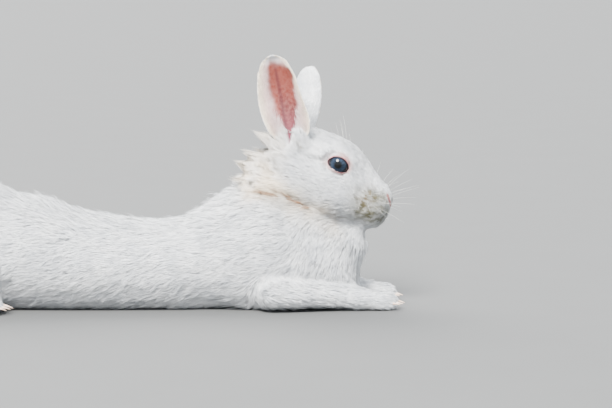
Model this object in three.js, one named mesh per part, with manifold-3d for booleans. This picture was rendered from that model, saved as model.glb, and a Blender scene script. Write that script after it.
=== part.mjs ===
// A young white rabbit resting on its chest with its hindquarters gathered under it, as a still,
// life-size model. Millimetres, +Z up, nose towards +X, left side towards +Y. The origin is on the
// floor under the belly. The body is one smooth implicit surface, blended from ellipsoids, tapered
// limbs and lofts; it is meshed piece by piece and parted by thin cuts into head, neck, trunk, tail
// and limbs. The outline is that of the coat, not of the skin.
import * as THREE from "three";
import { mergeVertices } from "three/addons/utils/BufferGeometryUtils.js";
import Module from "manifold-3d";

const wasm = await Module();
wasm.setup();

// ---- Driving dimensions ---------------------------------------------------------------------
const GAP = 0.3; // between neighbouring pieces
const FAR = 400; // half the size of the boxes that cut half-spaces

const SKULL = [118, 0, 92]; // centre of the head, and origin of the head's own frame
const HEAD_PITCH = 30; // degrees, nose down
const HEAD_YAW = -4; // degrees, nose a little towards the right side
const EYE_RADIUS = 7.4;
const EYE = [6.5, 16.3, 11]; // in the head's frame, left side
const LID_OPENING = [13.4, 9.8]; // long, high
const LID_TILT = 5; // degrees, front corner up in the head's frame
const LID_THICKNESS = 1.2;
const EAR_LENGTH = 70;
const EAR_THICKNESS = 2.6;
const FOREPAW_LENGTH = 32;
const HINDFOOT_LENGTH = 84;
const CLAW_LENGTH = { fore: 5.5, hind: 6.5 };

// The back's outline from croup to breast: place along the body, height of the back, half width.
const BACK = [
  [-165, 72, 26],
  [-138, 91, 36],
  [-118, 89.5, 42],
  [-103, 82.5, 44],
  [-88, 76.5, 45],
  [-70, 72.5, 45],
  [-45, 65.5, 44],
  [-15, 61, 42],
  [12, 60, 40],
  [32, 64, 38.5],
  [50, 74, 38],
  [75, 74, 37],
  [105, 60, 33],
  [124, 45, 24],
];
const BELLY = -5; // the belly's round would reach this far under the floor; the floor flattens it

// The head from nape to muzzle, in its own frame: place, forehead, jaw, half width.
const FACE = [
  [-38, 12, -18, 13],
  [-26, 21, -24, 19],
  [-12, 24.6, -26, 21],
  [2, 25.6, -25, 21],
  [14, 24.6, -23, 19.5],
  [25, 21, -21.5, 17],
  [35, 15.5, -20.5, 14.5],
  [43, 11.5, -17, 12],
];

// ---- Frames and fields ----------------------------------------------------------------------
// A field is a function of x, y, z that is negative inside a shape and grows by about 1 per mm.
const rad = THREE.MathUtils.degToRad;

// A field given in a turned frame, as a field of the frame outside it.
function placed(field, [ox, oy, oz], pitch = 0, yaw = 0, roll = 0) {
  const turn = new THREE.Matrix4().makeRotationFromEuler(
    new THREE.Euler(rad(roll), rad(pitch), rad(yaw), "ZYX"),
  );
  const m = turn.transpose().elements;
  return (x, y, z) => {
    const [dx, dy, dz] = [x - ox, y - oy, z - oz];
    return field(
      m[0] * dx + m[4] * dy + m[8] * dz,
      m[1] * dx + m[5] * dy + m[9] * dz,
      m[2] * dx + m[6] * dy + m[10] * dz,
    );
  };
}

function ellipsoid([cx, cy, cz], [rx, ry, rz], pitch = 0, yaw = 0, roll = 0) {
  const at = (x, y, z) => {
    const near = Math.hypot(x / rx, y / ry, z / rz);
    const slope = Math.hypot(x / (rx * rx), y / (ry * ry), z / (rz * rz));
    return slope > 1e-9 ? (near * (near - 1)) / slope : -Math.min(rx, ry, rz);
  };
  return placed(at, [cx, cy, cz], pitch, yaw, roll);
}

// A limb that tapers from radius ra at a to rb at b, flattened or not across its height.
function limb(a, ra, b, rb, flat = 1) {
  const d = [b[0] - a[0], b[1] - a[1], (b[2] - a[2]) / flat];
  const dd = d[0] * d[0] + d[1] * d[1] + d[2] * d[2];
  return (x, y, z) => {
    const [px, py, pz] = [x - a[0], y - a[1], (z - a[2]) / flat];
    const t = THREE.MathUtils.clamp((px * d[0] + py * d[1] + pz * d[2]) / dd, 0, 1);
    const away = Math.hypot(px - t * d[0], py - t * d[1], pz - t * d[2]);
    return (away - ra - t * (rb - ra)) * Math.min(1, flat);
  };
}

// Numbers between rows of a table, on a smooth curve through them; the first column is the place.
function along(table, x) {
  const last = table.length - 1;
  const clamped = THREE.MathUtils.clamp(x, table[0][0], table[last][0]);
  let i = 0;
  while (i < last - 1 && table[i + 1][0] < clamped) i++;
  const [before, from, to, after] = [i - 1, i, i + 1, i + 2].map(
    (k) => table[THREE.MathUtils.clamp(k, 0, last)],
  );
  const span = to[0] - from[0];
  const t = (clamped - from[0]) / span;
  return from.slice(1).map((value, k) => {
    const column = k + 1;
    const slopeIn = (to[column] - before[column]) / (to[0] - before[0]);
    const slopeOut = (after[column] - value) / (after[0] - from[0]);
    const next = to[column];
    return (
      value * (2 * t ** 3 - 3 * t ** 2 + 1) +
      next * (3 * t ** 2 - 2 * t ** 3) +
      span * slopeIn * (t ** 3 - 2 * t ** 2 + t) +
      span * slopeOut * (t ** 3 - t ** 2)
    );
  });
}

// A body of oval sections along x. sectionAt gives top, bottom and half width; ends lie inside others.
function loft(start, end, sectionAt) {
  return (x, y, z) => {
    const [top, bottom, half] = sectionAt(x);
    const [middle, height] = [(top + bottom) / 2, (top - bottom) / 2];
    const oval = (Math.hypot(y / half, (z - middle) / height) - 1) * Math.min(half, height);
    return Math.max(oval, start - x, x - end);
  };
}

// Fields joined with a fillet about as wide as soft.
function blend(soft, ...fields) {
  return (x, y, z) => {
    let joined = Infinity;
    for (const field of fields) {
      const next = field(x, y, z);
      const share = Math.max(soft - Math.abs(joined - next), 0) / soft;
      joined = Math.min(joined, next) - (share * share * soft) / 4;
    }
    return joined;
  };
}

const bothSides = (field) => (x, y, z) => field(x, Math.abs(y), z);
const mirrored = (field) => (x, y, z) => field(x, -y, z);
const grown = (field, by) => (x, y, z) => field(x, y, z) - by;

// ---- The rabbit's masses --------------------------------------------------------------------
const SIDES = { left: 1, right: -1 };
const forSide = (side, field) => (side > 0 ? field : mirrored(field));

function headField() {
  const skull = loft(FACE[0][0], FACE[FACE.length - 1][0], (x) => along(FACE, x));
  const cheek = bothSides(ellipsoid([1, 9.5, -8], [25, 15, 17.5], -6));
  const ruff = bothSides(ellipsoid([-27, 11, -12], [22, 15, 18], 20));
  const brow = bothSides(ellipsoid([5, 11.5, 15], [14, 9, 8.5], 4, -6));
  const bridge = ellipsoid([36, 0, 5.5], [15, 9, 8.2], 24);
  const lip = bothSides(ellipsoid([41, 7, -3], [10.5, 8.6, 9], 24, -12));
  const nose = ellipsoid([46.4, 0, 3.2], [4.8, 5, 5.4], 10);
  const chin = ellipsoid([41.5, 0, -13], [9, 9.5, 7.6], -14);
  return placed(
    blend(5, blend(9, skull, cheek, ruff, brow), bridge, blend(3, lip, nose), chin),
    SKULL,
    HEAD_PITCH,
    HEAD_YAW,
  );
}

function neckField() {
  const nape = limb([93, 0, 95], 26.5, [81, 0, 54], 34);
  const throat = limb([112, 0, 72], 20, [100, 0, 44], 30);
  return blend(8, nape, throat);
}

function trunkField() {
  const barrel = loft(BACK[0][0], BACK[BACK.length - 1][0], (x) => {
    const [top, half] = along(BACK, x);
    return [top, BELLY, half];
  });
  const croup = ellipsoid([-139, 0, 48], [47, 48, 46], -6);
  const breast = ellipsoid([109, 0, 26], [35, 33, 31], 6);
  const dewlap = ellipsoid([125, 0, 43], [21, 22, 14], -6);
  const shoulder = bothSides(ellipsoid([76, 23, 34], [30, 17, 33], 14));
  return blend(8, blend(12, barrel, croup, breast, shoulder), dewlap);
}

// Joints of the limbs, left side; the right side mirrors them.
const ELBOW = [84, 34, 14];
const WRIST = [139, 25, 8.5];
const FOREPAW_TIP = [WRIST[0] + FOREPAW_LENGTH, 22, 6.5];
const HIP = [-148, 24, 54];
const STIFLE = [-114, 42, 30];
const HEEL = [-176, 40, 8.5];
const HINDFOOT_TIP = [HEEL[0] + HINDFOOT_LENGTH, 47, 6.5];

// Toes fan out across the front of a foot that ends at tip. The outer ones stop short of it.
const TOE_FAN = 5; // degrees between neighbours
const shorter = (across) => Math.abs(across + 0.3) * 2.2;
function toesField({ tip, toes: count, spread, toe: [long, wide, high] }) {
  const toes = [];
  for (let i = 0; i < count; i++) {
    const across = i - (count - 1) / 2;
    const middle = [tip[0] - long - shorter(across), tip[1] + across * spread, high - 1];
    toes.push(ellipsoid(middle, [long, wide, high], 0, across * TOE_FAN));
  }
  return blend(1.6, ...toes);
}

const FEET = {
  fore: { tip: FOREPAW_TIP, toes: 4, spread: 4.6, toe: [8.5, 3, 6.2] },
  hind: { tip: HINDFOOT_TIP, toes: 4, spread: 5.2, toe: [11, 3.4, 6.6] },
};
const foreArm = limb(ELBOW, 13, WRIST, 8.6);
const forePaw = blend(
  4,
  limb(WRIST, 8.8, [FOREPAW_TIP[0] - 12, FOREPAW_TIP[1], 6], 8.2, 0.86),
  toesField(FEET.fore),
);
const thigh = blend(
  9,
  ellipsoid([-134, 35, 43], [34, 21, 38], -18, 8, 8),
  limb(HIP, 24, STIFLE, 18),
);
const shank = limb([STIFLE[0] - 6, 45, 26], 16, [HEEL[0] + 8, HEEL[1], 11], 10.5);
const hindFoot = blend(
  4,
  limb(HEEL, 9.6, [HINDFOOT_TIP[0] - 16, HINDFOOT_TIP[1], 6.5], 8.6, 0.9),
  toesField(FEET.hind),
);
const tailPuff = placed(
  blend(6, ellipsoid([0, 0, 0], [12, 12.5, 16]), ellipsoid([-3, 0, 12], [9, 9.5, 12], -20)),
  [-186, 0, 44],
  -14,
);

const headMass = headField();
const neckMass = neckField();
const trunkMass = trunkField();
const limbs = bothSides(blend(5, foreArm, forePaw, blend(7, thigh, shank), hindFoot));
const body = blend(5, blend(11, trunkMass, neckMass), headMass, blend(4, limbs, tailPuff));

// ---- Meshing and cutting --------------------------------------------------------------------
// Corner offsets of a grid cell, and its 12 edges as pairs of corners.
const CORNERS = [0, 1, 2, 3, 4, 5, 6, 7].map((c) => [c & 1, (c >> 1) & 1, (c >> 2) & 1]);
const EDGES = CORNERS.flatMap((corner, a) =>
  [1, 2, 4].filter((bit) => !(a & bit)).map((bit) => [a, a | bit]),
);

// Whether the corners in a set of bits hang together along the cell's edges.
function connected(bits) {
  let reached = bits & -bits;
  for (let round = 0; round < CORNERS.length; round++)
    for (const [a, b] of EDGES) {
      const pair = (1 << a) | (1 << b);
      if ((bits & pair) === pair && reached & pair) reached |= pair;
    }
  return reached === bits;
}

// For each set of a cell's inside corners, whether a surface through it would pinch or cross itself.
const PINCHED = Array.from({ length: 256 }, (_, inside) => {
  const outside = 255 - inside;
  return inside > 0 && outside > 0 && !(connected(inside) && connected(outside));
});

// Fills the narrowest corners of pinched cells until no cell is left that would break the surface.
// The grid's own rim stays outside, so there the shallowest inside corner is emptied instead.
function mendPinches(value, rim, size, at, little) {
  for (let changed = true; changed; ) {
    changed = false;
    for (let k = 0; k < size[2] - 1; k++)
      for (let j = 0; j < size[1] - 1; j++)
        for (let i = 0; i < size[0] - 1; i++) {
          const corners = CORNERS.map(([a, b, c]) => at(i + a, j + b, k + c));
          const inside = corners.reduce((bits, c, n) => bits | (value[c] < 0 ? 1 << n : 0), 0);
          if (!PINCHED[inside]) continue;
          const open = corners.filter((c) => value[c] >= 0 && !rim[c]);
          const full = corners.filter((c) => value[c] < 0);
          if (open.length) value[open.reduce((a, b) => (value[a] < value[b] ? a : b))] = -little;
          else value[full.reduce((a, b) => (value[a] > value[b] ? a : b))] = little;
          changed = true;
        }
  }
}

// The closed surface of a field inside a box, by surface nets: one vertex for each crossed cell,
// one quad for each crossed edge. Vertices are then drawn onto the field's zero.
function surfaceOf(field, [low, high], cell) {
  const size = low.map((from, axis) => Math.ceil((high[axis] - from) / cell) + 1);
  const at = (i, j, k) => i + size[0] * (j + size[1] * k);
  const value = new Float32Array(size[0] * size[1] * size[2]);
  const rim = new Uint8Array(value.length);
  for (let k = 0; k < size[2]; k++)
    for (let j = 0; j < size[1]; j++)
      for (let i = 0; i < size[0]; i++) {
        const onRim = [i, j, k].some((n, axis) => n === 0 || n === size[axis] - 1);
        const found = field(low[0] + i * cell, low[1] + j * cell, low[2] + k * cell);
        rim[at(i, j, k)] = onRim ? 1 : 0;
        value[at(i, j, k)] = onRim ? Math.max(found, cell / 2) : found;
      }
  mendPinches(value, rim, size, at, cell / 50);
  const places = [];
  const vertexOf = new Map();
  for (let k = 0; k < size[2] - 1; k++)
    for (let j = 0; j < size[1] - 1; j++)
      for (let i = 0; i < size[0] - 1; i++) {
        const v = CORNERS.map(([a, b, c]) => value[at(i + a, j + b, k + c)]);
        const crossed = EDGES.filter(([a, b]) => v[a] < 0 !== v[b] < 0);
        if (!crossed.length) continue;
        const sum = [0, 0, 0];
        for (const [a, b] of crossed) {
          const t = v[a] / (v[a] - v[b]);
          for (let n = 0; n < 3; n++) sum[n] += CORNERS[a][n] + t * (CORNERS[b][n] - CORNERS[a][n]);
        }
        vertexOf.set(at(i, j, k), places.length / 3);
        const inCell = sum.map((s) => s / crossed.length);
        const point = [i, j, k].map((n, axis) => low[axis] + (n + inCell[axis]) * cell);
        places.push(...ontoField(field, point, cell));
      }
  const triangles = [];
  const stride = [1, size[0], size[0] * size[1]];
  for (let k = 0; k < size[2] - 1; k++)
    for (let j = 0; j < size[1] - 1; j++)
      for (let i = 0; i < size[0] - 1; i++) {
        const corner = at(i, j, k);
        const here = value[corner] < 0;
        for (let axis = 0; axis < 3; axis++) {
          const [second, third] = [(axis + 1) % 3, (axis + 2) % 3];
          const place = [i, j, k];
          if (here === value[corner + stride[axis]] < 0 || !place[second] || !place[third]) continue;
          const [p, q] = [stride[second], stride[third]];
          const quad = [corner - p - q, corner - q, corner, corner - p].map((c) => vertexOf.get(c));
          const [a, b, c, d] = here ? quad : quad.reverse();
          triangles.push(a, b, c, a, c, d);
        }
      }
  return solid(places, triangles);
}

// How fast a field grows along x, y and z at a point.
function slopeAt(field, [x, y, z]) {
  const step = 0.05;
  const here = field(x, y, z);
  return [
    (field(x + step, y, z) - here) / step,
    (field(x, y + step, z) - here) / step,
    (field(x, y, z + step) - here) / step,
  ];
}

// A point moved along the field's slope to its zero, or left where it is if that is too far.
function ontoField(field, point, cell) {
  let moved = point;
  for (let round = 0; round < 3; round++) {
    const slope = slopeAt(field, moved);
    const steep = Math.max(Math.hypot(...slope), 0.3);
    const by = field(...moved) / steep ** 2;
    moved = moved.map((n, axis) => n - by * slope[axis]);
  }
  return Math.hypot(...moved.map((n, axis) => n - point[axis])) < cell / 2 ? moved : point;
}

// A solid with its surface moved out along a field's slope.
function swollen(part, field, by) {
  const { vertProperties, triVerts } = part.getMesh();
  const places = new Float32Array(vertProperties);
  for (let i = 0; i < places.length; i += 3) {
    const point = [...places.subarray(i, i + 3)];
    const slope = slopeAt(field, point);
    const scale = by / Math.hypot(...slope);
    places.set(point.map((n, axis) => n + scale * slope[axis]), i);
  }
  return solid(places, triVerts);
}

function solid(places, triangles) {
  return new wasm.Manifold(
    new wasm.Mesh({
      numProp: 3,
      vertProperties: new Float32Array(places),
      triVerts: new Uint32Array(triangles),
    }),
  );
}

function solidOf(geometry) {
  const bare = geometry.index ? geometry.toNonIndexed() : geometry.clone();
  const closed = new THREE.BufferGeometry();
  closed.setAttribute("position", bare.getAttribute("position"));
  const merged = mergeVertices(closed, 1e-3);
  return solid(merged.attributes.position.array, merged.index.array);
}

// All space on the side of a plane that its normal points away from, as a large box.
function halfSpace(point, normal) {
  const box = new THREE.BoxGeometry(2 * FAR, 2 * FAR, 2 * FAR);
  box.translate(0, 0, -FAR);
  const up = new THREE.Vector3(...normal).normalize();
  box.applyQuaternion(new THREE.Quaternion().setFromUnitVectors(new THREE.Vector3(0, 0, 1), up));
  box.translate(...point);
  return solidOf(box);
}

const floor = halfSpace([0, 0, 0], [0, 0, 1]);

// The largest body of a cut: shavings left where two surfaces graze each other are dropped.
function whole(cut) {
  return cut.decompose().reduce((a, b) => (a.volume() > b.volume() ? a : b));
}

// The body inside a box, kept where all of keep is and where none of drop is, standing on the floor.
function piece(box, cell, keep, drop) {
  let cut = surfaceOf(body, box, cell).subtract(floor);
  for (const part of keep) cut = cut.intersect(part);
  for (const part of drop) cut = cut.subtract(part);
  return whole(cut);
}

const pieces = [];
function add(name, part, material) {
  const { numProp, vertProperties, triVerts } = part.getMesh();
  const places = new Float32Array((vertProperties.length / numProp) * 3);
  for (let i = 0; i * 3 < places.length; i++)
    places.set(vertProperties.subarray(i * numProp, i * numProp + 3), i * 3);
  const geometry = new THREE.BufferGeometry();
  geometry.setAttribute("position", new THREE.BufferAttribute(places, 3));
  geometry.setIndex(new THREE.BufferAttribute(triVerts, 1));
  geometry.computeVertexNormals();
  const mesh = new THREE.Mesh(geometry, material.clone());
  mesh.name = name;
  pieces.push(mesh);
}

// ---- Materials ------------------------------------------------------------------------------
const coat = new THREE.MeshStandardMaterial({ color: 0xecebe8, roughness: 0.85, metalness: 0 });
const earSkin = new THREE.MeshStandardMaterial({ color: 0xe6bcb4, roughness: 0.7, metalness: 0 });
const eyeBlue = new THREE.MeshStandardMaterial({ color: 0x55759c, roughness: 0.08, metalness: 0 });
const horn = new THREE.MeshStandardMaterial({ color: 0xd9c6b4, roughness: 0.4, metalness: 0 });

// ---- Head, neck, trunk and tail -------------------------------------------------------------
// The fold under the cheek parts the head and neck from the trunk; a slanting cut behind the ears
// and jaw parts the head from the neck, and one between the forelegs the breast from the trunk.
const FOLD = { point: [102, 0, 66], normal: [0.35, 0, 1] };
const NAPE = { point: [86, 0, 100], normal: [1, 0, 0.55] };
const BREAST = { point: [98, 0, 40], normal: [1, 0, 0.2] };
const back = (v) => v.map((n) => -n);
const moved = (point, normal, by) =>
  new THREE.Vector3(...normal).setLength(by).add(new THREE.Vector3(...point)).toArray();
const belowPlane = ({ point, normal }) => halfSpace(moved(point, normal, -GAP / 2), normal);
const abovePlane = ({ point, normal }) => halfSpace(moved(point, normal, GAP / 2), back(normal));

// A point of the head's own frame, in the rabbit's.
const headTurn = new THREE.Euler(0, rad(HEAD_PITCH), rad(HEAD_YAW), "ZYX");
const headPoint = (p) =>
  new THREE.Vector3(...p).applyEuler(headTurn).add(new THREE.Vector3(...SKULL)).toArray();

function eyeBall(side, radius) {
  const ball = new THREE.SphereGeometry(radius, 12, 8);
  ball.rotateX(Math.PI / 2);
  ball.translate(EYE[0], side * EYE[1], EYE[2]);
  ball.applyQuaternion(new THREE.Quaternion().setFromEuler(headTurn));
  ball.translate(...SKULL);
  return solidOf(ball);
}

// The lids are a skin over the eyeball, with an oval opening on the outer side.
function eyeOpening(side) {
  const slit = new THREE.CylinderGeometry(1, 1, 2 * EYE_RADIUS, 12);
  slit.scale(LID_OPENING[0] / 2, 1, LID_OPENING[1] / 2);
  slit.rotateY(rad(side * -LID_TILT));
  slit.translate(EYE[0], side * (EYE[1] + EYE_RADIUS), EYE[2]);
  slit.applyQuaternion(new THREE.Quaternion().setFromEuler(headTurn));
  slit.translate(...SKULL);
  return solidOf(slit);
}

const HEAD_BOX = [[60, -46, 32], [180, 46, 136]];
let head = piece(HEAD_BOX, 6, [abovePlane(FOLD), abovePlane(NAPE)], []);
for (const side of Object.values(SIDES))
  head = head
    .add(eyeBall(side, EYE_RADIUS + LID_THICKNESS))
    .subtract(eyeOpening(side))
    .subtract(eyeBall(side, EYE_RADIUS + GAP));
add("head", whole(head), coat);
const neck = piece([[48, -44, 36], [150, 44, 132]], 10, [abovePlane(FOLD), belowPlane(NAPE)], []);
add("neck", neck, coat);
for (const [name, side] of Object.entries(SIDES))
  add(`eye_${name}`, eyeBall(side, EYE_RADIUS), eyeBlue);

// ---- Limbs ----------------------------------------------------------------------------------
// A limb is the body within a slightly larger copy of that limb, which the trunk leaves out with a
// gap; a plane parts each limb into two lengths.
const OVER = 2.2; // how far the larger copy stands outside the limb
const CUT_CELL = 12; // coarse, because the copies' surfaces lie inside the body
const legs = {
  fore: {
    field: blend(4, foreArm, forePaw),
    box: [[52, 4, -20], [190, 62, 46]],
    parting: { point: [WRIST[0] - 4, 0, 0], normal: [-1, 0, -0.25] },
    upper: { name: "forearm", cell: 10, box: [[56, 10, -14], [152, 60, 42]] },
    lower: { name: "forepaw", cell: 6, box: [[120, 4, -12], [184, 42, 28]] },
  },
  hind: {
    field: blend(7, thigh, shank, hindFoot),
    box: [[-208, 0, -20], [-68, 80, 110]],
    parting: { point: [HEEL[0], 0, 19], normal: [0.05, 0, 1] },
    upper: { name: "thigh", cell: 13, box: [[-204, 4, -14], [-72, 74, 108]] },
    lower: { name: "hindfoot", cell: 8, box: [[-200, 10, -14], [-78, 70, 32]] },
  },
};
const taken = [];
for (const [side, sign] of Object.entries(SIDES))
  for (const { field, box, parting, upper, lower } of Object.values(legs)) {
    const copy = forSide(sign, grown(field, OVER));
    const region = surfaceOf(copy, sidedBox(box, sign), CUT_CELL);
    for (const [{ name, cell, box: own }, within] of [[upper, abovePlane], [lower, belowPlane]])
      add(`${name}_${side}`, piece(sidedBox(own, sign), cell, [region, within(parting)], []), coat);
    taken.push(swollen(region, copy, 1.2 * GAP));
  }

function sidedBox([low, high], sign) {
  return sign > 0 ? [low, high] : [[low[0], -high[1], low[2]], [high[0], -low[1], high[2]]];
}

const TAIL_BOX = [[-220, -30, 10], [-158, 30, 88]];
const tailCopy = grown(tailPuff, OVER);
const tailRegion = surfaceOf(tailCopy, TAIL_BOX, CUT_CELL);
add("tail", piece(TAIL_BOX, 8.5, [tailRegion], []), coat);
taken.push(swollen(tailRegion, tailCopy, 1.2 * GAP));

const TRUNK_BOX = [[-205, -70, -14], [158, 70, 110]];
const behindBreast = [belowPlane(FOLD), belowPlane(BREAST)];
add("trunk", piece(TRUNK_BOX, 14, behindBreast, taken), coat);
const BREAST_BOX = [[88, -50, -10], [158, 50, 74]];
add("breast", piece(BREAST_BOX, 8.5, [belowPlane(FOLD), abovePlane(BREAST)], taken), coat);

// ---- Ears -----------------------------------------------------------------------------------
// An ear is a leaf rolled about its own length: nearly a tube at the root, open and cupped above.
// Rows are place from root to tip, half width along the leaf's arc, and half angle of the roll.
const LEAF = [
  [0, 12, 140],
  [0.12, 14, 112],
  [0.3, 17, 80],
  [0.5, 18.3, 62],
  [0.7, 17, 52],
  [0.85, 13, 40],
  [0.95, 7.5, 26],
  [1, 2.2, 10],
];
const EAR_ROWS = 7;
const EAR_COLUMNS = 6;

// root and lean are in the rabbit's frame: lean is the way the ear points, open the way it faces.
const EARS = {
  left: { root: [96.5, 13, 100], lean: [0.31, 0.2, 1], open: [0.8, 0.75, 0], length: 0.9 },
  right: { root: [97.5, -15, 105], lean: [-0.245, -0.16, 1], open: [-0.16, -1, -0.2], length: 1 },
};

function earGeometry({ root, lean, open, length }) {
  const up = new THREE.Vector3(...lean).normalize();
  const face = new THREE.Vector3(...open).projectOnPlane(up).normalize();
  const across = new THREE.Vector3().crossVectors(up, face);
  const places = [];
  // Layer 1 is the outer side of the leaf, and 0 its inner side.
  for (let layer = 0; layer < 2; layer++)
    for (let row = 0; row <= EAR_ROWS; row++) {
      const t = row / EAR_ROWS;
      const [half, angle] = along(LEAF, t);
      const radius = half / rad(angle);
      const height = t * EAR_LENGTH * length;
      const bend = 4 * t * (1 - t);
      for (let column = 0; column <= EAR_COLUMNS; column++) {
        const s = (2 * column) / EAR_COLUMNS - 1;
        const thick = EAR_THICKNESS * Math.sqrt(Math.max(1 - s * s, 0)) * (1 - 0.5 * t) + 0.7;
        const turn = s * rad(angle);
        const r = radius + (layer ? thick / 2 : -thick / 2);
        const out = radius * 0.45 - r * Math.cos(turn) - bend;
        places.push(
          new THREE.Vector3(...root)
            .addScaledVector(up, height)
            .addScaledVector(across, r * Math.sin(turn))
            .addScaledVector(face, out),
        );
      }
    }
  return sheetGeometry(places, EAR_ROWS, EAR_COLUMNS);
}

// Two layers of rows and columns of points, closed round their rim.
function sheetGeometry(places, rows, columns) {
  const width = columns + 1;
  const at = (layer, row, column) => layer * (rows + 1) * width + row * width + column;
  const index = [];
  const quad = (a, b, c, d) => index.push(a, b, c, a, c, d);
  for (let i = 0; i < rows; i++)
    for (let j = 0; j < columns; j++) {
      quad(at(0, i, j), at(0, i, j + 1), at(0, i + 1, j + 1), at(0, i + 1, j));
      quad(at(1, i, j), at(1, i + 1, j), at(1, i + 1, j + 1), at(1, i, j + 1));
    }
  for (let i = 0; i < rows; i++) {
    quad(at(0, i, 0), at(0, i + 1, 0), at(1, i + 1, 0), at(1, i, 0));
    quad(at(0, i, columns), at(1, i, columns), at(1, i + 1, columns), at(0, i + 1, columns));
  }
  for (let j = 0; j < columns; j++) {
    quad(at(0, 0, j), at(1, 0, j), at(1, 0, j + 1), at(0, 0, j + 1));
    quad(at(0, rows, j), at(0, rows, j + 1), at(1, rows, j + 1), at(1, rows, j));
  }
  const geometry = new THREE.BufferGeometry();
  geometry.setAttribute(
    "position",
    new THREE.BufferAttribute(new Float32Array(places.flatMap((p) => p.toArray())), 3),
  );
  geometry.setIndex(index);
  return geometry;
}

const scalp = surfaceOf(grown(body, GAP), HEAD_BOX, 6);
for (const [name, ear] of Object.entries(EARS))
  add(`ear_${name}`, whole(solidOf(earGeometry(ear)).subtract(scalp)), earSkin);

// ---- Claws ----------------------------------------------------------------------------------
// A claw is a cone bent downwards, rooted in the end of its toe.
const CLAW_DEEP = 3.2; // how far inside the toe's tip a claw starts
const CLAW_CELL = 3;
function clawGeometry(length) {
  const claw = new THREE.ConeGeometry(1.25, length, 5, 2);
  claw.rotateZ(-Math.PI / 2);
  claw.translate(length / 2, 0, 0);
  const place = claw.getAttribute("position");
  for (let i = 0; i < place.count; i++) {
    const t = place.getX(i) / length;
    place.setZ(i, place.getZ(i) * 1.3 - 0.35 * length * t * t);
  }
  return claw;
}

for (const [side, sign] of Object.entries(SIDES))
  for (const [foot, { tip, toes, spread }] of Object.entries(FEET)) {
    const round = [[tip[0] - 24, tip[1] - 16, -4], [tip[0] + 12, tip[1] + 16, 22]];
    const rootedIn = surfaceOf(grown(body, GAP), sidedBox(round, sign), CLAW_CELL);
    for (let i = 0; i < toes; i++) {
      const across = i - (toes - 1) / 2;
      const claw = clawGeometry(CLAW_LENGTH[foot]);
      claw.rotateZ(rad(across * TOE_FAN * sign));
      claw.translate(tip[0] - CLAW_DEEP - shorter(across), sign * (tip[1] + across * spread), 6);
      add(`claw_${foot}_${side}_${i + 1}`, whole(solidOf(claw).subtract(rootedIn)), horn);
    }
  }

const rabbit = new THREE.Group();
rabbit.add(...pieces);
export default rabbit;
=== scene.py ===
import math
import bmesh
import bpy
import numpy as np
from mathutils import Matrix, Vector, noise
from mathutils.bvhtree import BVHTree
from mathutils.kdtree import KDTree


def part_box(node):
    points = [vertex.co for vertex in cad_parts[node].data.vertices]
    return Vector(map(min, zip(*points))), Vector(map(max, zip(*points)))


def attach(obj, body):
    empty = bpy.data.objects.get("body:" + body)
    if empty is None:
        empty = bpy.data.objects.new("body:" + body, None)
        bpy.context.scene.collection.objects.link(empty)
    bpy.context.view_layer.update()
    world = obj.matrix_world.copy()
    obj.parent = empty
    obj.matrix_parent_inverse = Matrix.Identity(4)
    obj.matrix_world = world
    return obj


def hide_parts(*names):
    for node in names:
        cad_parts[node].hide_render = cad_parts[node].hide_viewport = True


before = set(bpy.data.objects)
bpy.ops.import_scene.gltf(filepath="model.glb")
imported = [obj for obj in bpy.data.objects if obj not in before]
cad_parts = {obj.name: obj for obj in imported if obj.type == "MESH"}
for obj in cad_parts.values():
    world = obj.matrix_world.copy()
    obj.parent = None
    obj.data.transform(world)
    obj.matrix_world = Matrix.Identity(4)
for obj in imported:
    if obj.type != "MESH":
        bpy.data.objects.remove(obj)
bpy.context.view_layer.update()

MM = 0.001
RANDOM = np.random.default_rng(11)

# ---- The rabbit's own frames, as the solids have them ----
SKULL = np.array([118.0, 0.0, 92.0])
HEAD_PITCH, HEAD_YAW = math.radians(30), math.radians(-4)
HEAD_TURN = np.array(Matrix.Rotation(HEAD_YAW, 3, "Z") @ Matrix.Rotation(HEAD_PITCH, 3, "Y"))
EYE = np.array([6.5, 16.3, 11.0])  # left eye in the head's frame
EYE_RADIUS = 7.4
EYE_LONG = 7.1  # half the opening between the lids, from corner to corner
EYE_DROP = 0.85  # how far the line between its corners lies under the ball's middle
UPPER_LID, LOWER_LID = 5.65, 3.5  # how far the lids arch above and below that line
EYE_TILT = math.radians(5)
SOCKET_DEPTH = 2.6
LID_GAP = 0.2  # between the ball and the skin that hugs it
SOCKET_BACK = -6.0  # the skin further in than this, seen from the ball's middle, stays as it is
# Fades by distance from the eye's middle, where 1 is the rim of its opening.
SOCKET_EDGE, LIDS_EDGE = (0.92, 1.02), (1.12, 1.8)
LEAST_LID_DEPTH = 1.6  # the skin at the eye's corners stays this far out from the ball's middle
SIDES = {"left": 1.0, "right": -1.0}
EAR_LENGTH = 70.0
# The ear's leaf from root to tip: place, half width along its arc, half angle of its roll.
LEAF = np.array([
    [0, 12, 140], [0.12, 14, 112], [0.3, 17, 80], [0.5, 17.9, 62],
    [0.7, 15.9, 52], [0.85, 12.1, 40], [0.95, 7.5, 26], [1, 2.2, 10],
])
EAR_SINK = 9.0  # how deep the ear's margins dive into the head at the root
EAR_BOW = 4.0  # its middle bends back a quarter of this
EAR_SET = 0.45  # how far the roll's middle lies out of the cup, beside its radius
FLARE_ROOT, FLARE_END = (0.05, 0.2), (0.2, 0.62)  # heights where the front margin widens and narrows
# Each ear's root, lean, way its cup opens, length, and how far its front margin widens at the root.
EARS = {
    "left": {
        "root": np.array([96.5, 13, 100]), "lean": np.array([0.31, 0.2, 1]),
        "open": np.array([0.8, 0.75, 0]), "length": 0.9, "flare": -3.5,
    },
    "right": {
        "root": np.array([96.2, -15, 105]), "lean": np.array([-0.222, -0.16, 1]),
        "open": np.array([-0.16, -1, -0.2]), "length": 0.96, "flare": 6.5,
    },
}

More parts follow.
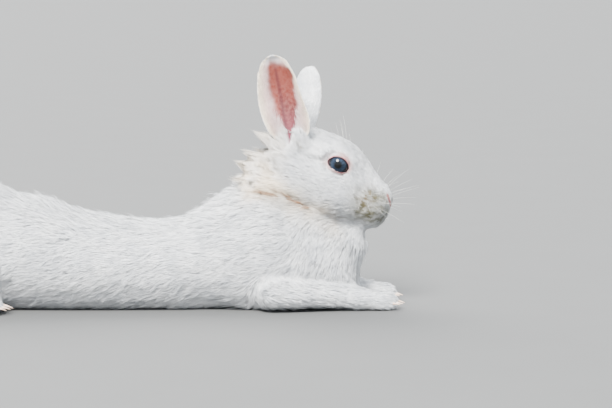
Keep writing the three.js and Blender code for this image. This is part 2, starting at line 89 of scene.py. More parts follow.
# How the coat grows on each kind of node: length and depth of the fur, width of a blade, blades to
# a square millimetre, size of a tuft, and how far its tips draw together.
COAT = {
    "head": (4.4, 1.35, 0.22, 6.2, 2.0, 0.5),
    "neck": (12.0, 3.6, 0.2, 8.0, 2.8, 0.55),
    "breast": (9.0, 2.8, 0.28, 3.6, 2.0, 0.45),
    "trunk": (10.5, 2.5, 0.32, 2.5, 1.7, 0.34),
    "tail": (12.0, 4.4, 0.36, 5.0, 2.6, 0.4),
    "thigh": (10.5, 2.6, 0.32, 2.5, 1.7, 0.34),
    "forearm": (7.0, 2.2, 0.30, 3.0, 2.0, 0.45),
    "forepaw": (4.2, 1.2, 0.26, 3.6, 1.5, 0.45),
    "hindfoot": (5.0, 1.4, 0.26, 3.4, 1.6, 0.45),
    "ear": (2.6, 0.5, 0.22, 5.0, 1.2, 0.35),
}
KINDS = list(COAT)
COAT_TABLE = np.array([COAT[k] for k in KINDS])
LENGTH, DEPTH, WIDTH, DENSITY, TUFT, DRAW = range(6)


# ---- Small helpers ----
def unit(v):
    return v / np.maximum(np.linalg.norm(v, axis=-1, keepdims=True), 1e-12)


def ramp(x, low, high):
    """Rises smoothly from 0 at low to 1 at high."""
    t = np.clip((x - low) / (high - low), 0, 1)
    return t * t * (3 - 2 * t)


def fall(x, low, high):
    return 1 - ramp(x, low, high)


def bell(x, width):
    return np.exp(-((x / width) ** 2))


def to_head(points):
    """Points in the head's own frame: forward, left, up, in millimetres."""
    return (points / MM - SKULL) @ HEAD_TURN


def from_head(local):
    return (local @ HEAD_TURN.T + SKULL) * MM


def on_left(local):
    """Places in the head's frame, those on the right mirrored to the left."""
    return local * (1, 0, 1) + np.abs(local) * (0, 1, 0)


def noise_at(points, size, seed=0):
    """Smooth noise from about -1 to 1 with lumps of the given size in millimetres."""
    shift = Vector((seed * 17.3, seed * 5.1, seed * 9.7))
    scale = 1 / (size * MM)
    return np.array([noise.noise(Vector(p) * scale + shift) for p in points])


def kind_of(node):
    return node.split("_")[0]


def of_kind(share, *kinds):
    """How much each point belongs to the given kinds of node."""
    return share[:, [KINDS.index(k) for k in kinds]].sum(1)


def linked(name, data):
    piece = bpy.data.objects.new(name, data)
    bpy.context.scene.collection.objects.link(piece)
    return piece


def new_object(name, points, faces):
    mesh = bpy.data.meshes.new(name)
    mesh.from_pydata([tuple(p) for p in points], [], [tuple(f) for f in faces])
    mesh.validate()
    mesh.shade_smooth()
    return linked(name, mesh)


def fetched(rows, name, width, kind=np.float32):
    """One property of all rows of a mesh's data, as an array."""
    flat = np.empty(len(rows) * width, kind)
    rows.foreach_get(name, flat)
    return flat.reshape(-1, width)


def points_of(mesh):
    return fetched(mesh.vertices, "co", 3).astype(float)


def normals_of(mesh):
    return fetched(mesh.vertex_normals, "vector", 3).astype(float)


def set_points(mesh, points):
    mesh.vertices.foreach_set("co", points.astype(np.float32).ravel())
    mesh.update()


def neighbours(mesh):
    """For each vertex, the vertices it shares an edge with, padded with itself, and their count."""
    pairs = fetched(mesh.edges, "vertices", 2, np.int32)
    both = np.concatenate([pairs, pairs[:, ::-1]])
    both = both[np.argsort(both[:, 0], kind="stable")]
    count = np.bincount(both[:, 0], minlength=len(mesh.vertices))
    start = np.cumsum(count) - count
    table = np.repeat(np.arange(len(count))[:, None], int(count.max()), 1)
    table[both[:, 0], np.arange(len(both)) - start[both[:, 0]]] = both[:, 1]
    return table, count


def averaged(values, table, count):
    """For each vertex, the average of its neighbours' values, less the table's padding."""
    spare, count = table.shape[1] - count, np.maximum(count, 1)
    if values.ndim == 2:
        spare, count = spare[:, None], count[:, None]
    return (values[table].sum(1) - values * spare) / count


def blurred(values, table, count, rounds, weight=0.5):
    for _ in range(rounds):
        values = values + weight * (averaged(values, table, count) - values)
    return values


def tree_of(places):
    tree = KDTree(len(places))
    for i, place in enumerate(places):
        tree.insert(place, i)
    tree.balance()
    return tree


# ---- The ruff: long fur that stands out from the nape in pointed locks ----
RUFF_INSET, RUFF_INSET_HEIGHTS = 4.0, (81, 91)  # the skin lies that much deeper under it
RUFF_WAY = np.array([-1.0, 0, 0.4])  # back and a little up
RUFF_LOW, RUFF_HIGHER, RUFF_FLANKS = 74, 8, (8, 20)  # at the sides it keeps above the fold
RUFF_FRONT = (82, 95)  # where it ends along the body
RUFF_FACING = (-0.35, 0.25)  # it grows on skin that faces its way
# Rows of locks round the nape: height of their roots, and where the middle lock's point is.
RUFF_ROWS = [(75, 45.5, 79), (83, 50.5, 87.5), (92.5, 54, 100.5), (102, 63, 110), (109, 64, 124)]
BEHIND_NAPE = 20  # a place along the body with nothing between it and the nape
RUFF_STEP = 8.0  # from one lock of a row to the next, round the nape
LOCK_RADIUS = 4.8
LOCK_SEED = 1
LOCK_FRAY = 0.45  # how far the tips of a lock's hairs stray from its point
UNDERFUR = 6.0  # length of the ruff's fur between the locks


def ruff(points, normals, share):
    """How much a place belongs to the ruff, from 0 to 1."""
    x, y, z = (points / MM).T
    low = RUFF_LOW + RUFF_HIGHER * ramp(np.abs(y), *RUFF_FLANKS)
    place = ramp(z, low, low + 8) * fall(x, *RUFF_FRONT)
    neck = np.clip(of_kind(share, "neck", "head"), 0, 1)
    return neck * place * ramp(normals @ unit(RUFF_WAY), *RUFF_FACING)


# ---- The skin ----
FLESH = [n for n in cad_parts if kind_of(n) not in ("ear", "eye", "claw")]
COVERED = FLESH + [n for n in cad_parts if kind_of(n) == "eye"]  # the skin first runs over the eyes
SWELL = 0.5  # closes the thin cuts between the nodes
VOXEL = 2.1
ROUNDS, FINE_ROUNDS = 34, 9  # of smoothing, which takes the solids' facets away, and on head and feet
LEAST_OFF, MOST_OFF = -4, 9  # how far the skin may be moved back towards the solids
SKIN_INSET = 0.8  # the skin's depth in the solids, beside the coat's
SKIN_LOWEST, BLADES_LOWEST = 0.6, 0.1  # above the floor


def flesh_block():
    """The nodes of flesh, each a little swollen so that it overlaps the next, as one mesh."""
    whole = bmesh.new()
    for node in COVERED:
        piece = bmesh.new()
        piece.from_mesh(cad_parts[node].data)
        bmesh.ops.remove_doubles(piece, verts=piece.verts, dist=1e-6)
        piece.normal_update()
        for vertex in piece.verts:
            vertex.co += vertex.normal * SWELL * MM
        swollen = bpy.data.meshes.new("swollen")
        piece.to_mesh(swollen)
        piece.free()
        whole.from_mesh(swollen)
        bpy.data.meshes.remove(swollen)
    block = bpy.data.meshes.new("block")
    whole.to_mesh(block)
    whole.free()
    return block


def remeshed(mesh, voxel):
    piece = linked("block", mesh)
    modifier = piece.modifiers.new("Voxels", "REMESH")
    modifier.mode = "VOXEL"
    modifier.voxel_size = voxel * MM
    graph = bpy.context.evaluated_depsgraph_get()
    result = bpy.data.meshes.new_from_object(piece.evaluated_get(graph))
    bpy.data.objects.remove(piece)
    bpy.data.meshes.remove(mesh)
    return result


def solids_tree():
    """A search tree of the covered nodes' faces, and the kind that each face belongs to."""
    whole, owners = bmesh.new(), []
    for node in COVERED:
        before = len(whole.faces)
        whole.from_mesh(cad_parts[node].data)
        kind = "head" if kind_of(node) == "eye" else kind_of(node)
        owners += [KINDS.index(kind)] * (len(whole.faces) - before)
    tree = BVHTree.FromBMesh(whole)
    whole.free()
    return tree, owners


SOLIDS, OWNERS = solids_tree()


def nearest_kinds(points):
    """For each point, how much it belongs to each kind of node, 1 for the nearest and 0 for others."""
    share = np.zeros((len(points), len(KINDS)))
    for i, point in enumerate(points):
        share[i, OWNERS[SOLIDS.find_nearest(Vector(point))[2]]] = 1
    return share


def smooth_skin(mesh, share):
    """Smooths the skin, the head and feet less than the trunk, to keep their features."""
    table, count = neighbours(mesh)
    points = points_of(mesh)
    fine = of_kind(share, "head", "forepaw", "hindfoot")
    rounds = ROUNDS * (1 - fine) + FINE_ROUNDS * fine
    for k in range(ROUNDS):
        points = blurred(points, table, count, 1, 0.5 * np.clip(rounds - k, 0, 1)[:, None])
    return points


def restored(mesh, inset, rounds):
    """Moves the smoothed skin to its depth inside the solids, by an amount that changes smoothly."""
    points, normals = points_of(mesh), normals_of(mesh)
    near = np.array([SOLIDS.find_nearest(Vector(p))[0] for p in points])
    off = np.clip(((near - points) * normals).sum(1), LEAST_OFF * MM, MOST_OFF * MM) - inset * MM
    off = blurred(off, *neighbours(mesh), rounds)
    set_points(mesh, points + normals * off[:, None])


def socket(local, side):
    """Skin round an eye: a hollow behind the ball, lids that hug it, and the old skin beyond."""
    away = local - EYE * (1, side, 1)
    depth = away[:, 1] * side
    on_side = depth > SOCKET_BACK
    flat = np.hypot(away[:, 0], away[:, 2])
    ball = np.sqrt(np.maximum((EYE_RADIUS + LID_GAP) ** 2 - flat**2, LEAST_LID_DEPTH**2))
    ring = bare_eye(local)
    depth = depth + (ball - depth) * fall(ring, *LIDS_EDGE) * on_side
    depth -= SOCKET_DEPTH * fall(ring, *SOCKET_EDGE) * on_side
    moved = local.copy()
    moved[:, 1] = side * (EYE[1] + depth)
    return moved


def along_path(local, path):
    """How far each point is from a path of straight lengths, and how far along it that is, 0 to 1."""
    path = np.array(path, float)
    best = np.full(len(local), np.inf)
    place = np.zeros(len(local))
    lengths = np.linalg.norm(np.diff(path, axis=0), axis=1)
    walked = np.concatenate([[0], np.cumsum(lengths)])
    for i, length in enumerate(lengths):
        a, b = path[i], path[i + 1]
        t = np.clip(((local - a) @ (b - a)) / length**2, 0, 1)
        far = np.linalg.norm(local - (a + t[:, None] * (b - a)), axis=1)
        nearer = far < best
        best[nearer] = far[nearer]
        place[nearer] = (walked[i] + t[nearer] * length) / walked[-1]
    return best, place


# Features of the face on the left side, in the head's frame: path, width, and height, which is
# below 0 for a crease.
MOUTH = [(52, 0.5, -2.4), (47.5, 6, -4.0), (42, 11.0, -6.2), (37, 13.5, -5.6)]
NOSTRIL = [(51.2, 1.3, 2.6), (50.2, 3.2, 3.8), (48.4, 4.8, 6.2), (47.4, 5.0, 8.6)]
PHILTRUM = [(51.5, 0, 2.2), (52.5, 0, -2.6)]
FURROW = [(-0.5, 20, 9.4), (-9, 23, 5.8), (-14, 23, 5.2), (-19.5, 21.5, 6.8), (-22, 19, 9.5)]
FEATURES = [
    (MOUTH, 1.0, -1.0),
    ([(36.5, 14, -5.5), (32, 15.5, -1.5), (29.5, 15.5, 1.5)], 2.4, -0.9),
    (PHILTRUM, 0.7, -1.1),
    (NOSTRIL, 0.7, -1.6),
    (FURROW, 1.9, -2.6),
    ([(46, 0, 13.5), (49, 0, 9)], 5.5, 2.2),
    ([(50.5, 0, -5), (50.5, 0, -9)], 6.5, 3.2),
    ([(45, 7.5, -1.5), (38.5, 11.0, -1.0)], 4.2, 0.8),
    ([(-2, 17, 18), (6, 16, 20), (13, 14, 18)], 4.5, 0.5),
    ([(-4, 24, -6), (12, 22, -9), (29, 16, -10)], 8, 2.0),
    ([(16, 17, -15), (30, 12, -15)], 7, 1.9),
    ([(-8, 21, 11.5), (-14, 21, 10)], 3.6, 0.4),
]
BREAST_SWELL = ((141, 0, 43), 11, 3.2)  # middle, width and height
FACE_MIDDLE, FACE_REACH = (10, 0, 0), 90  # the eyes' sockets change nothing beyond
EAR_SWELL, EAR_SWELL_WIDE = 5.5, 5.5  # of the skin that meets an ear's front margin low down
FOLD_LEVEL, FOLD_MIDDLE, FOLD_BEND = 82, 61, 0.005  # the fold between cheek and breast is a parabola
FOLD_BACK, FOLD_FRONT, FOLD_SIDES = (58, 80), (140, 148), (6, 14)
UNDER_JAW = (108, 122)  # along the body, where the fold grows shallow
ROLL_ABOVE, ROLL_WIDE, ROLL_HIGH = 7, 4.5, 1.0  # the cheek's roll of fur over the fold
FOLD_WIDE, FOLD_DEEP = 2.2, 1.1


def fold_height(x):
    """Where the fold between cheek and breast lies at a place along the body, in millimetres."""
    return FOLD_LEVEL - FOLD_BEND * (x - FOLD_MIDDLE) ** 2


def fold_mask(points):
    """Height above the fold, and how strongly it shows, at each point."""
    x, y, z = (points / MM).T
    shown = ramp(x, *FOLD_BACK) * fall(x, *FOLD_FRONT) * ramp(np.abs(y), *FOLD_SIDES)
    return z - fold_height(x), shown


def ear_frame(ear):
    """An ear's own axes: up its length, across it, and out of its cup."""
    up = unit(ear["lean"])
    face = unit(ear["open"] - up * (ear["open"] @ up))
    return up, np.cross(up, face), face


# The notch at the front of an ear's root, measured up the ear and out of its cup.
NOTCH_START, NOTCH_OPENS, NOTCH_TOP = (-1, 5), (-2, 20), (26, 30)
NOTCH_BACK, NOTCH_FRONT = (-8, -3), (16, 22)
NOTCH_NARROW, NOTCH_WIDER = 1.2, 7.5  # half its width low down, and how much more it is at its widest
NOTCH_DEEP = -6.0  # how far behind the ear's axis the head's skin lies there


def in_notch(points, ear):
    """How much a place on the head lies in the notch at the front of an ear's root, 0 to 1."""
    up, across, face = ear_frame(ear)
    away = points / MM - ear["root"]
    height, out = away @ up, away @ face
    half = NOTCH_WIDER * ramp(height, *NOTCH_OPENS) + NOTCH_NARROW
    inside = fall(np.abs(away @ across), half * 0.55, half * 1.15)
    open_way = ramp(out, *NOTCH_BACK) * fall(np.abs(out), *NOTCH_FRONT)
    return inside * ramp(height, *NOTCH_START) * fall(height, *NOTCH_TOP) * open_way


def notched(points):
    """The head's skin pushed back behind the ears' sheets in their notches."""
    for ear in EARS.values():
        face = ear_frame(ear)[2]
        out = (points / MM - ear["root"]) @ face
        push = np.minimum(NOTCH_DEEP - out, 0) * in_notch(points, ear)
        points = points + push[:, None] * face * MM
    return points


def nearest_of(points, places):
    """How far each point is from the nearest of a few places, in millimetres."""
    far = np.full(len(points), np.inf)
    for place in places:
        far = np.minimum(far, np.linalg.norm(points - place, axis=1) / MM)
    return far


def sculpt(points, normals):
    """The folds and features of the head, cut into or raised from the smooth skin."""
    left = on_left(to_head(points))
    lift = np.zeros(len(points))
    for path, width, height in FEATURES:
        lift += height * bell(along_path(left, path)[0], width)
    middle, width, height = BREAST_SWELL
    lift += height * bell(np.linalg.norm(points / MM - middle, axis=1), width)
    low = np.linspace(0.1, 0.24, 6)
    for ear in EARS.values():
        margin = leaf(ear, low, 0 * low + np.sign(ear_frame(ear)[1][0]), 0.0)
        lift += EAR_SWELL * bell(nearest_of(points, margin), EAR_SWELL_WIDE)
    above, shown = fold_mask(points)
    shown = shown * (1 - 0.6 * ramp(points[:, 0] / MM, *UNDER_JAW))
    lift += shown * (ROLL_HIGH * bell(above - ROLL_ABOVE, ROLL_WIDE) - FOLD_DEEP * bell(above, FOLD_WIDE))
    moved = notched(points + normals * lift[:, None] * MM)
    local = to_head(moved)
    for side in SIDES.values():
        local = socket(local, side)
    near = np.linalg.norm(to_head(points) - FACE_MIDDLE, axis=1) < FACE_REACH
    return np.where(near[:, None], from_head(local), moved)


def refine(mesh, chosen):
    """Splits the faces whose corners chosen picks into four."""
    body = bmesh.new()
    body.from_mesh(mesh)
    body.verts.ensure_lookup_table()
    flags = chosen(np.array([v.co for v in body.verts]))
    edges = [e for e in body.edges if flags[e.verts[0].index] and flags[e.verts[1].index]]
    bmesh.ops.subdivide_edges(body, edges=edges, cuts=1, use_grid_fill=True)
    body.to_mesh(mesh)
    body.free()


def relax(mesh, weight, rounds):
    set_points(mesh, blurred(points_of(mesh), *neighbours(mesh), rounds, weight))


# Bounds in the head's frame of the skin that is split finer: the head, then muzzle and eyes, then nose.
HEAD_BACK, HEAD_LOW, UNDER_FOLD = -22, -34, 4
MUZZLE_BACK, EYE_REGION = 34, 14
NOSE_BACK, NOSE_HALF, NOSE_LOW, NOSE_TOP = 42, 8, -6, 10


def in_head(points):
    u, _, w = to_head(points).T
    over_fold = points[:, 2] / MM > fold_height(points[:, 0] / MM) - UNDER_FOLD
    return (u > HEAD_BACK) & (w > HEAD_LOW) & over_fold


def in_muzzle(points):
    local = to_head(points)
    return (local[:, 0] > MUZZLE_BACK) | (np.linalg.norm(on_left(local) - EYE, axis=1) < EYE_REGION)


def in_nose(points):
    u, v, w = to_head(points).T
    return (u > NOSE_BACK) & (np.abs(v) < NOSE_HALF) & (w > NOSE_LOW) & (w < NOSE_TOP)


def leaf(ear, t, s, lift):
    """Points of a rolled leaf at t from root to tip and s across it, lifted off its middle sheet."""
    up, across, face = ear_frame(ear)
    angle = np.radians(smooth_column(2, t))
    middle = smooth_column(1, t) / angle
    radius = middle + lift
    turn = s * angle
    height = t * EAR_LENGTH * ear["length"]
    sunk = EAR_SINK * fall(t, 0.02, 0.3) * ramp(np.abs(s), 0.3, 1)
    out = middle * EAR_SET - radius * np.cos(turn) - EAR_BOW * t * (1 - t) - sunk
    ahead = np.sign(across[0])
    flare = ear["flare"] * ramp(ahead * s, 0.1, 1) * ramp(t, *FLARE_ROOT) * fall(t, *FLARE_END)
    sway = radius * np.sin(turn) + ahead * flare
    return (ear["root"] + up * height[..., None] + across * sway[..., None] + face * out[..., None]) * MM


def smooth_column(column, t):
    """A column of LEAF at t, on a smooth curve through its rows."""
    place, value = LEAF[:, 0], LEAF[:, column]
    slope = np.gradient(value, place)
    i = np.clip(np.searchsorted(place, t, side="right") - 1, 0, len(place) - 2)
    span = place[i + 1] - place[i]
    k = np.clip((t - place[i]) / span, 0, 1)
    return (
        value[i] * (2 * k**3 - 3 * k**2 + 1) + value[i + 1] * (3 * k**2 - 2 * k**3)
        + span * slope[i] * (k**3 - 2 * k**2 + k) + span * slope[i + 1] * (k**3 - k**2)
    )


EAR_ROWS, EAR_COLUMNS = 60, 40
EAR_THICK, EAR_THINNER, EAR_EDGE = 1.5, 0.7, 0.35  # at the root, how much less at the tip, at the rim
MIDRIB_HIGH, MIDRIB_HALF = 0.5, 0.12


def ear_sheet(ear):
    """Both sides of an ear as points with their place t, s and side, and quads round its rim."""
    rows, columns = np.linspace(0, 1, EAR_ROWS + 1), np.linspace(-1, 1, EAR_COLUMNS + 1)
    t, s = np.meshgrid(rows, columns, indexing="ij")
    thick = (EAR_THICK - EAR_THINNER * t) * np.sqrt(1 - s * s) + EAR_EDGE
    midrib = MIDRIB_HIGH * bell(s, MIDRIB_HALF) * (1 - t)
    layers = [leaf(ear, t, s, -thick / 2 - midrib), leaf(ear, t, s, thick / 2)]
    points = np.concatenate([layer.reshape(-1, 3) for layer in layers])
    place = np.stack([np.tile(t.ravel(), 2), np.tile(s.ravel(), 2), np.repeat([0, 1], t.size)], 1)
    index = np.arange(t.size).reshape(t.shape)
    a, b, c, d = index[:-1, :-1], index[:-1, 1:], index[1:, 1:], index[1:, :-1]
    inner = np.stack([a, b, c, d], -1).reshape(-1, 4)
    outer = np.stack([a, d, c, b], -1).reshape(-1, 4) + t.size
    rims = []
    for rim in (index[::-1, 0], index[0, :], index[:, -1], index[-1, ::-1]):
        rims.append(np.stack([rim[:-1], rim[1:], rim[1:] + t.size, rim[:-1] + t.size], -1)[:, ::-1])
    return points, place, np.concatenate([inner, outer, *rims])


def skin_of_flesh():
    """The skin of all but the ears as a mesh, with each vertex's share of the kinds."""
    mesh = remeshed(flesh_block(), VOXEL)
    around = neighbours(mesh)
    share = blurred(nearest_kinds(points_of(mesh)), *around, rounds=8)
    set_points(mesh, smooth_skin(mesh, share))
    restored(mesh, np.zeros(len(share)), rounds=10)
    points, normals = points_of(mesh), normals_of(mesh)
    deeper = RUFF_INSET * ruff(points, normals, share) * ramp(points[:, 2] / MM, *RUFF_INSET_HEIGHTS)
    inset = blurred(SKIN_INSET * (share @ COAT_TABLE[:, DEPTH]) + deeper, *around, rounds=6)
    set_points(mesh, points - normals * inset[:, None] * MM)
    relax(mesh, 0.5, rounds=4)
    restored(mesh, inset, rounds=8)
    for region in (in_head, in_muzzle, in_nose):
        refine(mesh, region)
    relax(mesh, 0.5 * in_head(points_of(mesh))[:, None], rounds=3)
    set_points(mesh, sculpt(points_of(mesh), normals_of(mesh)))
    grounded = points_of(mesh)
    grounded[:, 2] = np.maximum(grounded[:, 2], SKIN_LOWEST * MM)
    set_points(mesh, grounded)
    return mesh, blurred(nearest_kinds(grounded), *neighbours(mesh), rounds=14)


def make_skin():
    """The skin as an object, with each vertex's share of the kinds and its place on an ear."""
    mesh, share = skin_of_flesh()
    points, shares = [points_of(mesh)], [share]
    ear_place = [np.full((len(share), 3), -1.0)]  # below 0 off the ears
    polygons = [tuple(p.vertices) for p in mesh.polygons]
    all_ear = np.eye(len(KINDS))[KINDS.index("ear")]
    for ear in EARS.values():
        sheet, place, quads = ear_sheet(ear)
        polygons += (quads + sum(len(p) for p in points)).tolist()
        points.append(sheet)
        ear_place.append(place)
        shares.append(np.tile(all_ear, (len(sheet), 1)))
    bpy.data.meshes.remove(mesh)
    skin = new_object("skin", np.concatenate(points), polygons)
    return skin, np.concatenate(shares), np.concatenate(ear_place)


# ---- The coat's markings and its painted shade and glow, shared by skin and coat ----
def far_from(local, path, plane=(0, 1, 2)):
    """Like along_path for the face's left half, mirrored, in the given axes of the head's frame."""
    keep = list(plane)
    return along_path(on_left(local)[:, keep], [[point[i] for i in keep] for point in path])


def bare_eye(local):
    """How near a place on the head is to an eye's opening: 1 is its rim."""
    eye = on_left(local) - EYE
    c, s = math.cos(EYE_TILT), math.sin(EYE_TILT)
    high = eye[:, 2] * c - eye[:, 0] * s + EYE_DROP
    long = eye[:, 0] * c + eye[:, 2] * s
    ring = np.hypot(long / EYE_LONG, high / np.where(high > 0, UPPER_LID, LOWER_LID))
    return np.where(np.abs(eye[:, 1]) < 11, ring, 9.0)


PINK_AHEAD = 0.1  # how far the bare flesh lies off the ear's middle, towards its front margin
PINK_PLACES = [0, 0.1, 0.2, 0.3, 0.55, 0.76, 0.86, 0.93]
PINK_HALVES = [0.12, 0.2, 0.32, 0.44, 0.66, 0.8, 0.8, 0.62]  # its half width at those places
SOFT_BEHIND, SOFT_AHEAD = 0.36, 0.14  # its edge is softer towards the ear's back margin


def ear_pink(t, s, rough):
    """The bare flesh inside an ear: a long leaf shape, pointed at the root, with a soft edge."""
    half = np.interp(t, PINK_PLACES, PINK_HALVES)
    off = s - PINK_AHEAD * ramp(t, 0.3, 0.9)
    soft = np.where(off < 0, SOFT_BEHIND, SOFT_AHEAD)
    side = fall(np.abs(off) + 0.12 * rough, half - soft, half + 0.12)
    return side * fall(t + 0.05 * s + 0.05 * rough, 0.86, 0.99)


GREY_FADE = 0.17  # the grey's lightness beside the white's, so that the mask fades evenly to the eye
TAN_LINES = [(79, 93), (97, 111)]  # stretches along the body where the fold shows a tan line
NAPE_LOW, NAPE_TOP, NAPE_FRONT = (74, 84), (112, 124), (86, 102)
MOUTH_CORNER = (37, 13.5, -4.0)
BROWN_MIDDLE = (34.5, 14.5, 1.0)


def cream_and_tan(points, share, rough, streaks):
    """The tints of the nape and of the fold between cheek and breast."""
    x, y, z = (points / MM).T
    above, shown = fold_mask(points)
    neck, head = of_kind(share, "neck"), of_kind(share, "head")
    nape = np.maximum(neck, 0.9 * head * fall(z, *NAPE_TOP))
    nape = nape * ramp(z, *NAPE_LOW) * fall(x, *NAPE_FRONT)
    by_fold = shown * bell(above, 9) * fall(x, 120, 138)
    cream = nape * (0.6 + 0.4 * rough + 0.3 * streaks) + by_fold * (0.6 + 0.6 * rough)
    in_fold = bell(above + 1.5, 3.6) * shown * ramp(x, 62, 76) * fall(x, 104, 116)
    in_lines = sum(ramp(x, a - 3, a + 3) * fall(x, b - 3, b + 3) for a, b in TAN_LINES)
    line = bell(above + 0.8 + 0.8 * rough, 1.1) * shown * in_lines
    on_side = 0.03 + 0.15 * ramp(np.abs(y), 10, 18)
    tan = in_fold * ramp(streaks, 0.15, 0.4) + on_side * nape * ramp(streaks, 0.25, 0.5) + 1.2 * line
    return cream, tan


def grey_shade_and_brown(local, head, rough, fine, speckle):
    """The mottled grey of the muzzle and chin, partly painted shade under them, and the brown by the mouth's
    corner.
    """
    u, _, w = local.T
    corner = np.linalg.norm(on_left(local) - MOUTH_CORNER, axis=1)
    by_brown = np.linalg.norm(on_left(local) - BROWN_MIDDLE, axis=1)
    mouth, place = far_from(local, MOUTH)
    mottle = ramp(0.7 * fine + 0.4 * rough + 0.7 * speckle, -0.3, 0.5)
    around_mouth = 1.1 * bell(corner, 9.5) + 0.25 * bell(mouth, 4.0)
    pad = ramp(u, 26, 36) * (1 - 0.4 * ramp(u, 42, 50)) * fall(w, 3, 12) * ramp(w, -17, -8) * head
    chin = ramp(u, 30, 42) * fall(w, -9, -3) * head
    # painted shade: the grey darkens muzzle and chin beyond their own mottle, as the shade under them would
    grey_and_shade = 0.9 * np.maximum(around_mouth, pad) * (0.45 + 0.55 * mottle) + 0.1 * chin * mottle
    grey_and_shade = (1 - GREY_FADE ** np.clip(grey_and_shade, 0, 1)) / (1 - GREY_FADE)
    brown = 0.25 * bell(mouth, 1.2) * ramp(place, 0.5, 0.95)
    brown += 0.75 * bell(by_brown, 5.5) * ramp(speckle + 0.5 * fine, -0.15, 0.4)
    return grey_and_shade, brown


def pink_of_face(local):
    """The bare skin of nostrils and eyes' rims, and the blush of the fur before and under an eye."""
    u, _, w = local.T
    nostril, philtrum = (far_from(local, path, (1, 2))[0] for path in (NOSTRIL, PHILTRUM))
    nose = np.maximum(0.93 * fall(nostril, 0.3, 1.8), 0.5 * fall(philtrum, 0.2, 0.8)) * ramp(u, 43, 46)
    ring = bare_eye(local)
    fore = ramp(u - EYE[0] + 0.6 * (w - EYE[2]), -2, 5)
    under = ramp(EYE[2] - w, 1, 4)
    blush = fall(ring, 1.15, 1.75) * (0.15 + 0.6 * np.maximum(fore, 0.6 * under))
    return np.maximum(nose, fall(ring, 1.04, 1.16)), blush


def markings(points, share, ear_place):
    """Masks from 0 to 1 for the markings' colours and for painted shade and glow, and the places on the
    ears.
    """
    local = to_head(points)
    on_ear = ear_place[:, 0] >= 0
    rough, fine, speckle = (noise_at(points, size, seed) for size, seed in ((9, 1), (3.2, 2), (1.9, 6)))
    level = points.copy()  # with the fold made level, so that streaks follow it
    level[:, 2] -= fold_height(points[:, 0] / MM) * MM
    streaks = noise_at(level * (0.16, 0.6, 1.0), 2.1, 5)
    head = of_kind(share, "head")
    cream, tan = cream_and_tan(points, share, rough, streaks)
    grey_and_shade, brown = grey_shade_and_brown(local, head, rough, fine, speckle)
    pink, blush = pink_of_face(local)
    furrow, along_furrow = far_from(local, FURROW)
    furrow = np.where(along_furrow > 0.97, 9.0, furrow)
    t, s = ear_place[:, 0], -np.sign(points[:, 1]) * ear_place[:, 1]  # s grows towards the front
    inside = on_ear & (ear_place[:, 2] < 0.5)
    flesh = ear_pink(t, s, rough + 0.5 * fine) * inside
    halo = inside * fall(np.abs(s), 0.6, 1.0) * ramp(t, 0.1, 0.25) * fall(t, 0.88, 0.99)
    # painted shade along the fold of the ear's midrib
    midrib = bell(s + 0.1 - 0.12 * t, 0.08) * ramp(t, 0.1, 0.2) * fall(t, 0.8, 0.95) * inside
    masks = {  # on the body and on the ears
        # on the ears the cream along the inner margins is painted light: the warm glow of light through the
        # ear, dimmed as shade in its hollow
        "cream": (cream, inside * ramp(np.abs(s), 0.45, 0.9) * 0.9),
        "tan": (tan, 0),
        "grey_and_shade": (grey_and_shade, 0),
        "brown": (brown, 0),
        "furrow": (bell(furrow, 1.5) * head, 0),
        "pink": (pink, flesh),
        "halo": (blush, halo * 0.5),
        "midrib": (0, midrib),
        "ear_t": (0, t),
    }
    return {name: np.clip(np.where(on_ear, *pair[::-1]), 0, 1) for name, pair in masks.items()}


def set_masks(mesh, masks):
    """Stores masks on the mesh's vertices, where the materials read them."""
    for name, values in masks.items():
        layer = mesh.attributes.new(name, "FLOAT", "POINT")
        layer.data.foreach_set("value", values.astype(np.float32))


# ---- The lie of the coat ----
# Which way the fur lies on each kind of node, on the left side: forwards, outwards, up.
LIE = {
    "neck": (-1, 0.05, 0.2),
    "breast": (-0.55, 0.1, -1),
    "trunk": (-1, 0, -0.22),
    "tail": (-0.6, 0, 1),
    "thigh": (-1, 0, -0.55),
    "forearm": (1, 0.05, -0.2),
    "forepaw": (1, 0, -0.1),
    "hindfoot": (1, 0, -0.15),
}
NOSE = (54, 0, 2)


def along_skin(v, normals):
    """The part of v that lies along the skin."""
    return v - normals * (v * normals).sum(1, keepdims=True)


def face_lie(points):
    """On the face the fur runs back from the nose, spreads round the eye and down the cheek."""
    local = to_head(points)
    down = 0.5 * ramp(-local[:, 2], -4, 16)
    lie = np.stack([-np.ones(len(local)), 0.25 * np.sign(local[:, 1]), 0.12 - down], 1)
    nose = local - NOSE
    spread = unit(nose) * fall(np.linalg.norm(nose, axis=1), 6, 26)[:, None] * 1.5
    flat = (on_left(local) - EYE) * (1, 0, 1)
    near = fall(np.linalg.norm(flat, axis=1), 6, 15) * (0.3 + 0.6 * ramp(flat[:, 0], -2, 4))
    return (lie + spread + unit(flat) * near[:, None]) @ HEAD_TURN.T


